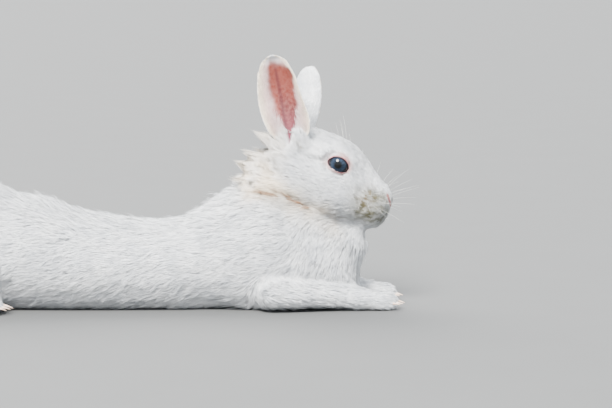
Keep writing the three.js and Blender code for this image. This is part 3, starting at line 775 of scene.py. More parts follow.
def lie_of_coat(points, normals, share, ear_place, table, count):
    """The way that the fur lies along the skin at each point, smoothed from one kind to the next."""
    outwards = np.stack([np.ones(len(points)), np.sign(points[:, 1]), np.ones(len(points))], 1)
    lie = of_kind(share, "head")[:, None] * unit(face_lie(points))
    for kind, way in LIE.items():
        lie += of_kind(share, kind)[:, None] * unit(np.array(way, float)) * outwards
    base, up = ear_base(points)
    lie += (1.6 * base * (ear_place[:, 0] < 0))[:, None] * up
    first = np.flatnonzero(ear_place[:, 0] >= 0)[0]
    sheet = (EAR_ROWS + 1) * (EAR_COLUMNS + 1) * 2
    for i, ear in enumerate(EARS.values()):
        own = slice(first + i * sheet, first + (i + 1) * sheet)
        up = unit(ear["lean"])
        spread = np.where(ear_place[own, 2] < 0.5, -0.25, 0.4) * ear_place[own, 1]
        lie[own] = up + np.cross(up, unit(ear["open"])) * spread[:, None]
    for _ in range(6):
        lie = blurred(unit(along_skin(lie, normals)), table, count, 1)
    sway = noise_at(points, 16, 3)[:, None] * 0.28 + noise_at(points, 6, 4)[:, None] * 0.2
    return unit(along_skin(lie + np.cross(normals, unit(lie)) * sway, normals))


# ---- Blades of fur ----
MOST_TRIANGLES = 190_000  # in one piece of coat
PATCH = 0.003  # a blade's size on the OFBake map
# Pieces of the coat: name, kinds of node, and lengths along a blade.
REGIONS = [
    ("head", ["head"], 2),
    ("neck", ["neck"], 4),
    ("breast", ["breast"], 3),
    ("trunk", ["trunk"], 3),
    ("tail", ["tail"], 3),
    ("haunch", ["thigh"], 3),
    ("feet", ["forearm", "forepaw", "hindfoot"], 2),
    ("ears", ["ear"], 2),
]


def unwrap(skin):
    """An unwrap of the skin's own shape, in a map of its own."""
    bpy.context.view_layer.objects.active = skin
    skin.select_set(True)
    bpy.ops.object.mode_set(mode="EDIT")
    bpy.ops.mesh.select_all(action="SELECT")
    bpy.ops.uv.smart_project(angle_limit=math.radians(66), island_margin=0.002)
    bpy.ops.object.mode_set(mode="OBJECT")
    skin.data.uv_layers[0].name = "OFBake"


def scattered(mesh, weight):
    """Roots scattered over a mesh: their triangle's corners, corner shares, and place on the map."""
    mesh.calc_loop_triangles()
    triangles = fetched(mesh.loop_triangles, "vertices", 3, np.int32)
    loops = fetched(mesh.loop_triangles, "loops", 3, np.int32)
    uv = fetched(mesh.uv_layers["OFBake"].data, "uv", 2)
    points = points_of(mesh) / MM
    a, b, c = (points[triangles[:, i]] for i in range(3))
    area = np.linalg.norm(np.cross(b - a, c - a), axis=1) / 2
    expected = area * weight[triangles].mean(1)
    number = np.floor(expected + RANDOM.random(len(expected))).astype(int)
    chosen = np.repeat(np.arange(len(triangles)), number)
    r = np.sqrt(RANDOM.random(len(chosen)))
    q = RANDOM.random(len(chosen))
    shares = np.stack([1 - r, r * (1 - q), r * q], 1)
    return triangles[chosen], shares, (uv[loops[chosen]] * shares[..., None]).sum(1)


def at_roots(values, corners, shares):
    picked = values[corners]
    return (picked * (shares[..., None] if picked.ndim == 3 else shares)).sum(1)


def tuft_leads(roots, blades_each):
    """For each root, the root that leads its tuft: the nearest of a thinned-out set."""
    leads = np.flatnonzero(RANDOM.random(len(roots)) < 1 / np.maximum(blades_each, 1))
    tree = tree_of(roots[leads])
    return leads[np.array([tree.find(root)[1] for root in roots])]


def blade_points(data, t):
    """The points of tapered strips, two at each place t along a blade and one at its tip."""
    reach = t[None, :, None] * data["way"][:, None, :] * data["length"][:, None, None]
    rise = (t * (2 - t))[None, :, None] * data["normal"][:, None, :] * data["depth"][:, None, None]
    spine = data["root"][:, None, :] + (reach + rise) * MM
    pull = (t[None, :] ** data["bend"][:, None] * data["draw"][:, None])[..., None]
    spine = spine + pull * (data["gather"] - spine[:, -1])[:, None, :]
    taper = np.where(t < 0.5, 0.75 + 0.5 * t, 2 * (1 - t)) * 0.5
    edge = taper[None, :-1, None] * data["edge"][:, None, :] * data["width"][:, None, None] * MM
    points = np.empty((len(spine), 2 * len(t) - 1, 3))
    points[:, 0:-1:2] = spine[:, :-1] - edge
    points[:, 1:-1:2] = spine[:, :-1] + edge
    points[:, -1] = spine[:, -1]
    points[..., 2] = np.maximum(points[..., 2], BLADES_LOWEST * MM)
    return points


def blades(name, data, rows):
    """One piece of coat: a tapered strip for each root, bent over towards its tip."""
    count, width = len(data["root"]), 2 * rows + 1
    t = np.linspace(0, 1, rows + 1)
    quads = [[2 * r, 2 * r + 1, 2 * r + 3, 2 * r + 2] for r in range(rows - 1)]
    corners = np.concatenate([np.array(quads).ravel(), [2 * rows - 2, 2 * rows - 1, 2 * rows]])
    loops = ((np.arange(count) * width)[:, None] + corners.astype(int)).ravel()
    sizes = np.tile([4] * (rows - 1) + [3], count)
    mesh = bpy.data.meshes.new(name)
    mesh.vertices.add(count * width)
    mesh.vertices.foreach_set("co", blade_points(data, t).astype(np.float32).ravel())
    mesh.loops.add(len(loops))
    mesh.loops.foreach_set("vertex_index", loops.astype(np.int32))
    mesh.polygons.add(len(sizes))
    mesh.polygons.foreach_set("loop_start", (np.cumsum(sizes) - sizes).astype(np.int32))
    mesh.update(calc_edges=True)
    mesh.shade_smooth()
    across = np.array([-0.5, 0.5] * rows + [0.0])
    up = np.append(np.repeat(t[:-1], 2), 1.0)
    patch = np.stack([across, up - 0.5], 1) * PATCH
    uv = np.clip(data["uv"][:, None, :] + patch[None], 0, 1).reshape(-1, 2)
    mesh.uv_layers.new(name="OFBake").data.foreach_set("uv", uv[loops].astype(np.float32).ravel())
    bow = 0.9 * across[None, :, None] * data["edge"][:, None, :]
    normals = unit(data["shade"][:, None, :] + bow)
    mesh.normals_split_custom_set_from_vertices(normals.reshape(-1, 3).tolist())
    masks = {key: np.repeat(values, width) for key, values in data["masks"].items()}
    set_masks(mesh, {**masks, "tip": np.tile(up, count)})
    mesh.materials.append(FUR)
    piece = linked(name, mesh)
    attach(piece, "root")


def lock_places(skin):
    """Where each lock of the ruff is rooted on the skin, and where its point is."""
    body = bmesh.new()
    body.from_mesh(skin.data)
    tree = BVHTree.FromBMesh(body)
    body.free()
    roots, tips = [], []
    random = np.random.default_rng(LOCK_SEED)
    ahead = Vector((1, 0, 0))
    for row, (z, tip_x, tip_z) in enumerate(RUFF_ROWS):
        middle = np.array(tree.ray_cast(Vector((BEHIND_NAPE, 0, z)) * MM, ahead)[0])
        way = np.array([tip_x, 0, tip_z]) * MM - middle
        for k in range(-4, 5):
            y = (k + 0.5 * (row % 2)) * RUFF_STEP
            outer = min(max(abs(y) / RUFF_STEP - 0.6, 0), 1)  # off the middle they are placed more loosely
            y += random.normal(0, 0.5 + 1.5 * outer)
            start = Vector((BEHIND_NAPE, y, z + random.normal(0, 0.3 + 2.6 * outer))) * MM
            base = tree.ray_cast(start, ahead)[0]
            if base is None:
                continue
            spread = np.array([0, 0.018 * y, 0]) * np.linalg.norm(way)
            spread += random.normal(0, 0.6 + 1.6 * outer, 3) * MM
            reach = 1 - outer * random.uniform(0.1, 0.5)
            roots.append(np.array(base))
            tips.append(roots[-1] + (way + spread) * (1 - 0.012 * abs(y)) * reach)
    return np.array(roots), np.array(tips)


# Stretches of the back's ridge where the fur bristles: middle and half width along the body, how much.
BRISTLES = [(49, 15, 1.5), (-66, 20, 0.8)]


def bristling(points, normals):
    """How much the fur stands up from the ridge of the back, 0 where it lies flat."""
    x = points[:, 0] / MM
    along = sum(much * bell(x - middle, half) for middle, half, much in BRISTLES)
    return along * ramp(normals[:, 2], 0.3, 0.8)


CUP_FUR = (6.0, 1.6)  # length and depth of the fur low inside an ear's cup


def coat_columns(points, normals, share, ear_place, masks):
    """The coat's columns at each point of the skin, shorter on the muzzle and longer on the cheek."""
    columns = share @ COAT_TABLE
    bristle = bristling(points, normals) * of_kind(share, "trunk")
    columns[:, DEPTH] *= 1 + bristle
    columns[:, DRAW] *= 1 + 0.5 * bristle
    local, head = to_head(points), of_kind(share, "head")
    u, _, w = local.T
    x, _, z = (points / MM).T
    muzzle = head * ramp(u, 20, 46)
    jaw = head * fall(u, 34, 46) * fall(w, -12, -4)
    cheek = np.maximum(head * fall(u, -18, 6) * fall(w, -2, 14), 0.8 * jaw)
    eye = fall(bare_eye(local), 1.2, 2.2)
    notch = np.clip(sum(in_notch(points, ear) for ear in EARS.values()) * head, 0, 1)
    base = ear_base(points)[0] * head * (1 - notch)
    before_ruff = head * fall(x, 86, 102) * ramp(z, 87, 95)
    columns[:, LENGTH] += 5.0 * before_ruff + 4.0 * base - 1.4 * notch
    columns[:, DEPTH] += 1.0 * base
    t, s, back = ear_place.T
    columns[(back >= 0) & (back < 0.5) & (t < 0.4) & (np.abs(s) < 0.8), :2] = CUP_FUR
    columns[:, LENGTH] *= 1 - 0.45 * ramp(t, 0.85, 0.97)
    shorter = (1 - 0.45 * muzzle) * (1 + 0.9 * cheek) * (1 - 0.5 * eye) * (1 - 0.45 * masks["furrow"])
    columns[:, LENGTH] *= shorter
    columns[:, DEPTH] *= shorter * (1 - 0.4 * masks["furrow"]) * (1 + 0.4 * masks["tan"])
    return columns


def ear_base(points):
    """How near a place on the head is to an ear's root or low margins, and that ear's way up."""
    base, way = np.zeros(len(points)), np.zeros((len(points), 3))
    heights = np.linspace(0.0, 0.3, 13)
    for ear in EARS.values():
        margins = np.concatenate([leaf(ear, heights, 0 * heights + side, 0.0) for side in (-1, 0, 1)])
        near = fall(nearest_of(points, margins), 3.5, 10)
        base = np.maximum(base, near)
        way += near[:, None] * ear_frame(ear)[0]
    return base, unit(way + 1e-9)


def coat_density(points, normals, columns, ear_place, masks):
    """Blades to a square millimetre: none on bare flesh, fewer in the furrow and on undersides."""
    density = columns[:, DENSITY] * (1 - np.clip(masks["pink"] * 1.15, 0, 1)) ** 2
    density *= 1 - 0.45 * masks["furrow"]
    underside = ramp(-normals[:, 2], 0.55, 0.9) * fall(points[:, 2] / MM, 8, 30)
    density *= 1 - 0.8 * underside
    density[(ear_place[:, 0] >= 0) & (ear_place[:, 0] < 0.1)] = 0
    density[bare_eye(to_head(points)) < 1.12] = 0
    return density


TUFT_TURN, BLADE_TURN = 0.17, 0.1  # how far tufts and single blades turn off the coat's lie
TUFT_SWERVE, BLADE_SWERVE = 0.12, 0.06  # and off the ruff's way
# Least and most of a tuft's or a blade's own share of the coat's length and depth.
TUFT_LENGTHS, BLADE_LENGTHS = (0.82, 1.15), (0.7, 1.05)
TUFT_RISES, BLADE_DEPTHS = (0.75, 1.15), (0.35, 1.0)
UNDERFUR_TUFTS, UNDERFUR_BLADES = (0.7, 1.2), (0.45, 1.1)
UPSTARTS, UPSTART_RISE = 0.05, 1.7  # share of tufts that stand up, and how much
LOCK_SHARE = 0.7  # of the blades near a lock's root that are held in it
LOCK_LENGTHS, LOCK_DRAW = (0.66, 1.02), (0.8, 1.0)
LOCK_TAPER, LOCK_TAPERS = 0.55, (0.4, 1.2)  # how much shorter a lock's outer blades end
LOCK_BEND, TUFT_BEND = 1.2, 2.0  # how late along a blade it bends to its lock's or tuft's tip
EDGE_STRAY, SHADE_STRAY = 0.35, 0.06  # of a blade's edge and of its normals


def vary(number, low, high):
    return RANDOM.uniform(low, high, number)


def stray(number, much, *wide):
    return RANDOM.normal(0, much, (number, *wide))


def lying(normal, way, own, lead):
    """Each blade's way along the skin, its length on that way and its depth, where the fur lies."""
    number = len(lead)
    turn = stray(number, TUFT_TURN)[lead] + stray(number, BLADE_TURN)
    way = along_skin(way, normal)
    way = unit(way + np.cross(normal, unit(way)) * turn[:, None])
    rise = vary(number, *TUFT_RISES)[lead]
    rise = rise * np.where(RANDOM.random(number) < UPSTARTS, UPSTART_RISE, 1.0)[lead]
    length = own[:, LENGTH] * vary(number, *BLADE_LENGTHS) * vary(number, *TUFT_LENGTHS)[lead]
    return way, length, own[:, DEPTH] * vary(number, *BLADE_DEPTHS) * rise


def standing(normal, way, length, depth, stand, lead):
    """The same, with the fur standing out as far as it belongs to the ruff."""
    number = len(lead)
    out = unit(RUFF_WAY + (stray(number, TUFT_SWERVE, 3)[lead] + stray(number, BLADE_SWERVE, 3)))
    long = UNDERFUR * vary(number, *UNDERFUR_BLADES) * vary(number, *UNDERFUR_TUFTS)[lead]
    upright = np.clip((out * normal).sum(1), 0.05, 1)
    flat = along_skin(out, normal)
    way = unit(way * (1 - stand)[:, None] + unit(flat) * stand[:, None])
    length = length * (1 - stand) + long * np.linalg.norm(flat, axis=1) * stand
    return way, length, depth * (1 - stand) + (long * upright + depth * 0.5) * stand


def locked(skin, roots, stand):
    """Which blades are held in a lock of the ruff, and where each blade's tip would lie in one."""
    number = len(roots)
    base, point = lock_places(skin)
    tree = tree_of(base)
    nearest, away = np.array([tree.find(root)[1:] for root in roots]).T
    point, away = point[nearest.astype(int)], away / MM
    in_lock = stand * fall(away, LOCK_RADIUS * 0.85, LOCK_RADIUS * 1.25)
    outer = np.minimum(away / LOCK_RADIUS, 1) ** 1.3
    short = (1 - LOCK_TAPER * outer * vary(number, *LOCK_TAPERS))[:, None]
    tip = roots + (point - roots) * short * vary(number, *LOCK_LENGTHS)[:, None]
    tip += stray(number, LOCK_FRAY, 3) * MM
    return (in_lock > 0.3) & (RANDOM.random(number) < LOCK_SHARE), tip


def grow(skin, roots, normal, way, own, stand, lead):
    """The blades' shapes: how each runs from its root, and the tip that it gathers to."""
    number = len(roots)
    way, length, depth = standing(normal, *lying(normal, way, own, lead), stand, lead)
    tip = roots + (way * length[:, None] + normal * depth[:, None]) * MM
    gather = tip[lead]
    far = np.linalg.norm(gather - tip, axis=1) / MM
    draw = own[:, DRAW] * fall(far, own[:, TUFT] * 1.3, own[:, TUFT] * 3)
    held, lock_tip = locked(skin, roots, stand)
    gather[held] = lock_tip[held]
    draw[held] = vary(number, *LOCK_DRAW)[held]
    edge = unit(np.cross(way, normal) + normal * stray(number, EDGE_STRAY)[:, None])
    facing = unit(np.cross(edge, tip - roots))
    aim = unit(normal + 0.9 * stand[:, None] * np.array([0, 0, 1.0]))
    turned = np.where((facing * aim).sum(1, keepdims=True) < 0, -1.0, 1.0)
    shade = unit(aim * 0.8 + facing * turned * 0.35 + stray(number, SHADE_STRAY, 3))
    near_eye = fall(bare_eye(to_head(roots)), 1.15, 1.6)
    return {
        "root": roots + normal * (0.75 * near_eye - 0.15)[:, None] * MM,  # lifted over the lids' skin
        "normal": normal, "way": way, "length": length, "depth": depth,
        "gather": gather, "draw": draw, "bend": np.where(held, LOCK_BEND, TUFT_BEND),
        "edge": edge * turned, "shade": shade, "width": own[:, WIDTH] * vary(number, 0.75, 1.25),
    }


def make_coat(skin, share, ear_place, masks):
    """The coat's pieces, each of one region and cut along the body where it would be too large."""
    points, normals = points_of(skin.data), normals_of(skin.data)
    lie = lie_of_coat(points, normals, share, ear_place, *neighbours(skin.data))
    columns = coat_columns(points, normals, share, ear_place, masks)
    density = coat_density(points, normals, columns, ear_place, masks)
    corners, shares, uv = scattered(skin.data, density)
    stand = ruff(points, normals, share)
    values = (points, normals, lie, columns, stand, share)
    roots, normal, way, own, stand, kinds_here = (at_roots(v, corners, shares) for v in values)
    lead = tuft_leads(roots, own[:, DENSITY] * math.pi * (own[:, TUFT] / 2) ** 2)
    data = {**grow(skin, roots, unit(normal), unit(way), own, stand, lead), "uv": uv}
    marks = {key: at_roots(values, corners, shares) for key, values in masks.items()}
    marks["tone"] = RANDOM.uniform(-1, 1, len(roots))
    marks["tuft_tone"] = RANDOM.uniform(-1, 1, len(roots))[lead]
    kind = kinds_here.argmax(1)
    for region, kinds, rows in REGIONS:
        chosen = np.flatnonzero(np.isin(kind, [KINDS.index(k) for k in kinds]))
        chosen = chosen[np.argsort(roots[chosen, 0], kind="stable")]
        parts = np.array_split(chosen, math.ceil(len(chosen) * (2 * rows - 1) / MOST_TRIANGLES))
        for i, part in enumerate(parts):
            piece_data = {key: values[part] for key, values in data.items()}
            piece_data["masks"] = {key: values[part] for key, values in marks.items()}
            blades(f"coat_{region}_{i + 1}", piece_data, rows)


# ---- Materials ----
def srgb(*channels):
    """A colour of three channels from 0 to 255, as the linear values that shaders take."""
    shares = [channel / 255 for channel in channels]
    return (*(c / 12.92 if c <= 0.04045 else ((c + 0.055) / 1.055) ** 2.4 for c in shares), 1.0)


class Nodes:
    """A material's nodes, with short calls for those used here."""

    def __init__(self, name, **sockets):
        self.material = bpy.data.materials.new(name)
        self.material.use_nodes = True
        self.tree = self.material.node_tree
        self.shader = self.tree.nodes["Principled BSDF"]
        for key, value in sockets.items():
            self.shader.inputs[key.replace("_", " ")].default_value = value

    def add(self, kind, inputs=(), **settings):
        """A new node, with each of its inputs linked or given its value."""
        node = self.tree.nodes.new(kind)
        for key, value in settings.items():
            setattr(node, key, value)
        for key, value in inputs:
            if isinstance(value, bpy.types.NodeSocket):
                self.tree.links.new(value, node.inputs[key])
            else:
                node.inputs[key].default_value = value
        return node

    def mask(self, name):
        return self.add("ShaderNodeAttribute", attribute_name=name).outputs["Fac"]

    def noise(self, size, detail=3.0, stretch=(1, 1, 1)):
        """Noise with lumps of about size millimetres, squeezed along the axes if asked."""
        place = self.add("ShaderNodeTexCoord").outputs["Object"]
        if stretch != (1, 1, 1):
            place = self.add("ShaderNodeMapping", [("Scale", stretch), ("Vector", place)]).outputs["Vector"]
        inputs = [("Scale", 1 / (size * MM)), ("Detail", detail), ("Roughness", 0.55), ("Vector", place)]
        return self.add("ShaderNodeTexNoise", inputs).outputs["Fac"]

    def maths(self, operation, a, b):
        return self.add("ShaderNodeMath", [(0, a), (1, b)], operation=operation).outputs[0]

    def spread(self, value, low, high, to_low=0.0, to_high=1.0):
        ends = zip(("From Min", "From Max", "To Min", "To Max"), (low, high, to_low, to_high))
        return self.add("ShaderNodeMapRange", [*ends, ("Value", value)]).outputs["Result"]

    def mix(self, share, a, b, blend="MIX"):
        inputs = [(0, share), (6, a), (7, b)]
        return self.add("ShaderNodeMix", inputs, data_type="RGBA", blend_type=blend).outputs[2]

    def colour(self, value):
        self.tree.links.new(value, self.shader.inputs["Base Color"])

    def bump(self, height, strength, distance):
        inputs = [("Strength", strength), ("Distance", distance * MM), ("Height", height)]
        normal = self.add("ShaderNodeBump", inputs).outputs["Normal"]
        self.tree.links.new(normal, self.shader.inputs["Normal"])


WHITE, SHADE_WHITE = srgb(232, 233, 234), srgb(202, 205, 209)
# the cream is the nape's own tint, and painted glow of light through the ear on the ears' inner margins
CREAM_AND_GLOW, TAN = srgb(234, 220, 198), srgb(134, 91, 51)
# the grey is partly painted shade on the muzzle and chin, beside their own mottle
GREY_AND_SHADE, BROWN = srgb(93, 89, 61), srgb(104, 82, 56)
FURROW_SHADE = srgb(158, 148, 128)
PINK, DEEP_PINK, PALE_PINK = srgb(110, 46, 40), srgb(80, 24, 27), srgb(194, 136, 128)
EAR_TOP, EAR_LOW = srgb(106, 42, 27), srgb(96, 34, 58)
# painted shade along the fold of an ear's midrib
MIDRIB_SHADE = srgb(60, 18, 30)


def coat_colour(nodes):
    """The markings' colours with the painted shade and glow, the same on skin and coat."""
    lumps = nodes.maths("ADD", nodes.noise(13), nodes.noise(4.5))
    colour = nodes.mix(nodes.spread(lumps, 0.75, 1.25), SHADE_WHITE, WHITE)
    for mask, mark in (("cream", CREAM_AND_GLOW), ("grey_and_shade", GREY_AND_SHADE), ("tan", TAN)):
        colour = nodes.mix(nodes.mask(mask), colour, mark)
    colour = nodes.mix(nodes.maths("MULTIPLY", nodes.mask("furrow"), 0.9), colour, FURROW_SHADE)
    colour = nodes.mix(nodes.mask("halo"), colour, PALE_PINK)
    return nodes.mix(nodes.mask("brown"), colour, BROWN)


def fur_material():
    nodes = Nodes("fur", Roughness=0.62, Specular_IOR_Level=0.25, Sheen_Weight=0.25, Sheen_Roughness=0.5)
    colour = coat_colour(nodes)
    tone = nodes.spread(nodes.maths("ADD", nodes.mask("tone"), nodes.mask("tuft_tone")), -2, 2, 0.74, 1.0)
    # painted shade: each blade is darker towards its root, deep in the coat
    root = nodes.spread(nodes.mask("tip"), 0.0, 0.6, 0.85, 1.0)
    grain = nodes.spread(nodes.noise(1.6), 0.3, 0.7, 0.96, 1.0)
    dim = nodes.maths("MULTIPLY", nodes.maths("MULTIPLY", tone, root), grain)
    shade = nodes.add("ShaderNodeCombineColor", [(i, dim) for i in range(3)]).outputs[0]
    nodes.colour(nodes.mix(1.0, colour, shade, "MULTIPLY"))
    return nodes.material


def skin_material():
    nodes = Nodes("rabbit_skin", Roughness=0.6, Specular_IOR_Level=0.35)
    veins = nodes.spread(nodes.noise(9, stretch=(1, 1, 0.35)), 0.42, 0.62)
    fine = nodes.spread(nodes.noise(2.2), 0.3, 0.7)
    top = nodes.spread(nodes.mask("ear_t"), 0.4, 0.8)
    low = nodes.spread(nodes.mask("ear_t"), 0.45, 0.15)
    low = nodes.maths("MULTIPLY", low, nodes.spread(nodes.mask("ear_t"), 0.0, 0.05))
    flesh = nodes.mix(veins, PINK, DEEP_PINK)
    # the midrib layer paints shade along the ear's fold
    layers = (
        (fine, 0.26, PALE_PINK), (top, 0.6, EAR_TOP), (low, 0.85, EAR_LOW),
        (nodes.mask("midrib"), 0.6, MIDRIB_SHADE),
    )
    for mask, much, colour in layers:
        flesh = nodes.mix(nodes.maths("MULTIPLY", mask, much), flesh, colour)
    nodes.colour(nodes.mix(nodes.mask("pink"), coat_colour(nodes), flesh))
    nodes.bump(nodes.noise(1.1, 4), 0.35, 0.25)
    return nodes.material


# ---- Eyes ----
IRIS, PUPIL = 6.1, 2.1
CORNEA_BULGE, EYE_SINK = 0.25, 0.05
EYE_RINGS, EYE_TURNS = 56, 72
FIBRES_ROUND, FIBRES_OUT = 7, 0.5  # how fine the iris's fibres are round it and outwards
PUPIL_BLACK, INNER_IRIS, LIMBUS = srgb(3, 3, 4), srgb(8, 12, 20), srgb(5, 7, 12)
DARK_BLUE, LIGHT_BLUE, EYE_WHITE = srgb(11, 18, 30), srgb(37, 50, 67), srgb(70, 50, 52)


def eye_material():
    nodes = Nodes("rabbit_eye", Roughness=0.12, Specular_IOR_Level=0.0, Coat_Weight=0.6, Coat_Roughness=0.04)
    far, fibres = nodes.mask("from_axis"), nodes.mask("fibre")
    blue = nodes.mix(nodes.spread(fibres, -0.6, 0.8), DARK_BLUE, LIGHT_BLUE)
    inner = nodes.mix(nodes.spread(far, PUPIL, PUPIL + 1.4), INNER_IRIS, blue)
    limbus = nodes.mix(nodes.spread(far, IRIS - 1.6, IRIS - 0.1), inner, LIMBUS)
    white = nodes.mix(nodes.spread(far, IRIS + 0.1, IRIS + 0.8), limbus, EYE_WHITE)
    nodes.colour(nodes.mix(nodes.spread(far, PUPIL - 0.12, PUPIL + 0.18), PUPIL_BLACK, white))
    nodes.bump(fibres, 0.1, 0.1)
    return nodes.material


def tube_faces(rings, turns):
    """Quads between rings + 1 rings of points, each of so many turns."""
    faces = []
    for i in range(rings):
        for j in range(turns):
            k = (j + 1) % turns
            faces.append((i * turns + j, i * turns + k, (i + 1) * turns + k, (i + 1) * turns + j))
    return faces


def make_eye(side_name, side):
    """The eyeball, its axis outwards, with a cornea that bulges a little over the iris."""
    points, from_axis, fibre = [], [], []
    for i in range(EYE_RINGS + 1):
        angle = math.pi * i / EYE_RINGS
        away = EYE_RADIUS * math.sin(angle)
        away = away if angle < math.pi / 2 else EYE_RADIUS * 2 - away
        r = EYE_RADIUS + CORNEA_BULGE * (1 - min(away / IRIS, 1) ** 2) - EYE_SINK
        for j in range(EYE_TURNS):
            around = 2 * math.pi * j / EYE_TURNS
            c, s = math.cos(around), math.sin(around)
            ball = np.array([r * math.sin(angle) * c, side * r * math.cos(angle), r * math.sin(angle) * s])
            points.append(EYE * (1, side, 1) + ball)
            from_axis.append(away)
            place = (c * FIBRES_ROUND, s * FIBRES_ROUND, away * FIBRES_OUT + 9 * side)
            fibre.append(noise.noise(Vector(place)))
    faces = [face if side < 0 else face[::-1] for face in tube_faces(EYE_RINGS, EYE_TURNS)]
    eye = new_object(f"eyeball_{side_name}", from_head(np.array(points)), faces)
    set_masks(eye.data, {"from_axis": np.array(from_axis), "fibre": np.array(fibre)})
    eye.data.materials.append(eye_material())
    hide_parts(f"eye_{side_name}")
    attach(eye, "root")


# The lids' profile from behind their edge outwards: how far along the ball, how high above it, how
# pale the skin is there (0 is the dark wet edge, 1 the white of the coat).
LID_PROFILE = [
    (-0.5, -0.35, 0.0), (-0.5, 0.1, 0.0), (-0.3, 0.36, 0.05), (0, 0.52, 0.2), (0.3, 0.56, 0.42),
    (0.65, 0.52, 0.6), (1.1, 0.42, 0.8), (1.6, 0.2, 1.0), (2.1, -0.1, 1.0), (2.6, -0.5, 1.0),
]
LID_TURNS = 120
LID_ARCH = 1.15  # over 1 draws the corners to points
LID_SHADE, LID_SHADE_WAY = 0.28, math.radians(50)  # painted shade: the edge is darker up and in front, where the lids shade it
LID_EDGE, LID_PALE = srgb(22, 15, 20), srgb(214, 184, 184)
LID_PINKS = srgb(166, 104, 108), srgb(190, 136, 138)


def lid_material():
    nodes = Nodes("lid_skin", Roughness=0.42, Specular_IOR_Level=0.2)
    pale = nodes.mask("pale")
    pink = nodes.mix(nodes.spread(nodes.noise(1.5), 0.3, 0.7), *LID_PINKS)
    edge = nodes.mix(nodes.spread(pale, 0.12, 0.36), LID_EDGE, pink)
    nodes.colour(nodes.mix(nodes.spread(pale, 0.6, 1.0), edge, LID_PALE))
    nodes.bump(nodes.noise(0.7), 0.3, 0.15)
    return nodes.material


def make_lids(side_name, side):
    """The lids' edge and the bare skin next to it, lying on the eyeball and dipping under the coat."""
    points, faces, pale = [], [], []
    c, s = math.cos(EYE_TILT), math.sin(EYE_TILT)
    ring = len(LID_PROFILE)
    for j in range(LID_TURNS):
        angle = 2 * math.pi * j / LID_TURNS
        a = EYE_LONG * math.cos(angle)
        arch = UPPER_LID if math.sin(angle) > 0 else LOWER_LID
        b = arch * math.copysign(abs(math.sin(angle)) ** LID_ARCH, math.sin(angle)) - EYE_DROP
        flat = np.array([a * c - b * s, 0, a * s + b * c])
        reach = np.linalg.norm(flat)
        polar = math.asin(min(reach / EYE_RADIUS, 0.96))
        # painted shade on the lid's edge, up and in front
        lid_shade = LID_SHADE * max(math.cos(angle - LID_SHADE_WAY), 0) ** 0.5
        for k, (along, high, paleness) in enumerate(LID_PROFILE):
            turn = polar + along / EYE_RADIUS
            away = flat / reach * math.sin(turn) + np.array([0, side, 0]) * math.cos(turn)
            points.append(EYE * (1, side, 1) + away * (EYE_RADIUS + high))
            pale.append(max(paleness - lid_shade, 0))
            if k < ring - 1:
                here, there = j * ring + k, (j + 1) % LID_TURNS * ring + k
                face = (here, here + 1, there + 1, there)
                faces.append(face if side < 0 else face[::-1])
    lids = new_object(f"lids_{side_name}", from_head(np.array(points)), faces)
    set_masks(lids.data, {"pale": np.array(pale)})
    lids.data.materials.append(LID)
    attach(lids, "root")


# ---- Whiskers and claws ----
def tapered_tube(path, radius, sides, tip=0.15):
    """Points and faces of a closed tube along a path of points, thinning to its tip."""
    heading = unit(np.gradient(path, axis=0))
    first = unit(np.cross(heading, (0.13, 0.2, 1.0)))
    second = np.cross(heading, first)
    thin = radius * (1 - (1 - tip) * np.linspace(0, 1, len(path)))[:, None, None]
    turns = (np.arange(sides) * 2 * math.pi / sides)[None, :, None]
    rings = path[:, None] + (np.cos(turns) * first[:, None] + np.sin(turns) * second[:, None]) * thin
    faces = tube_faces(len(path) - 1, sides)
    faces.append(tuple(range(sides))[::-1])
    faces.append(tuple(range((len(path) - 1) * sides, len(path) * sides)))
    return rings.reshape(-1, 3), faces


def joined_tubes(name, tubes):
    """One piece of many tubes, each given as its points and faces."""
    faces, first = [], 0
    for points, quads in tubes:
        faces += [tuple(i + first for i in face) for face in quads]
        first += len(points)
    return new_object(name, np.concatenate([points for points, _ in tubes]), faces)


# Rows of whiskers on the pad: place of the row's first root in the head's frame, ways to grow in the
# body's frame on the left side (forwards, outwards, up), and length.
WHISKER_ROWS = [
    ((41.5, 9.8, 4.2), (0.75, 0.7, 0.75), 36),
    ((42.5, 10.4, 2.0), (0.9, 0.75, 0.42), 38),
    ((42.5, 10.6, -0.2), (0.95, 0.85, 0.08), 36),
    ((41.0, 10.6, -2.2), (0.8, 0.9, -0.22), 30),
]
WHISKERS_EACH = 4
NEXT_ROOT, NEXT_WAY = np.array([-3.0, 1.1, 0.5]), np.array([-0.34, 0.1, 0])  # from one to the next
BROW_HAIRS = [((4, 13.2, 19.6), 20), ((7, 12.6, 19.4), 26), ((1, 13.4, 19.6), 17), ((10, 12, 18.8), 15)]
WHISKER_STEPS, WHISKER_SIDES, WHISKER_RADIUS = 16, 5, 0.08
WHISKER_STRAY, WHISKER_LENGTHS = 0.06, (0.85, 1.05)


def hair(root, way, bend, length):
    """A whisker's tube from its root, in millimetres: out along way, bending towards its tip."""
    t = np.linspace(0, 1, WHISKER_STEPS)[:, None]
    path = root + unit(way) * length * t + np.array(bend, float) * t**2
    return tapered_tube(path * MM, WHISKER_RADIUS * MM, WHISKER_SIDES)


def whisker_material():
    nodes = Nodes("whisker", Roughness=0.35)
    white = nodes.mix(nodes.noise(4), srgb(236, 234, 226), srgb(250, 248, 244))
    nodes.colour(nodes.mix(nodes.spread(nodes.mask("along"), 0.1, 0.7), srgb(128, 124, 112), white))
    return nodes.material


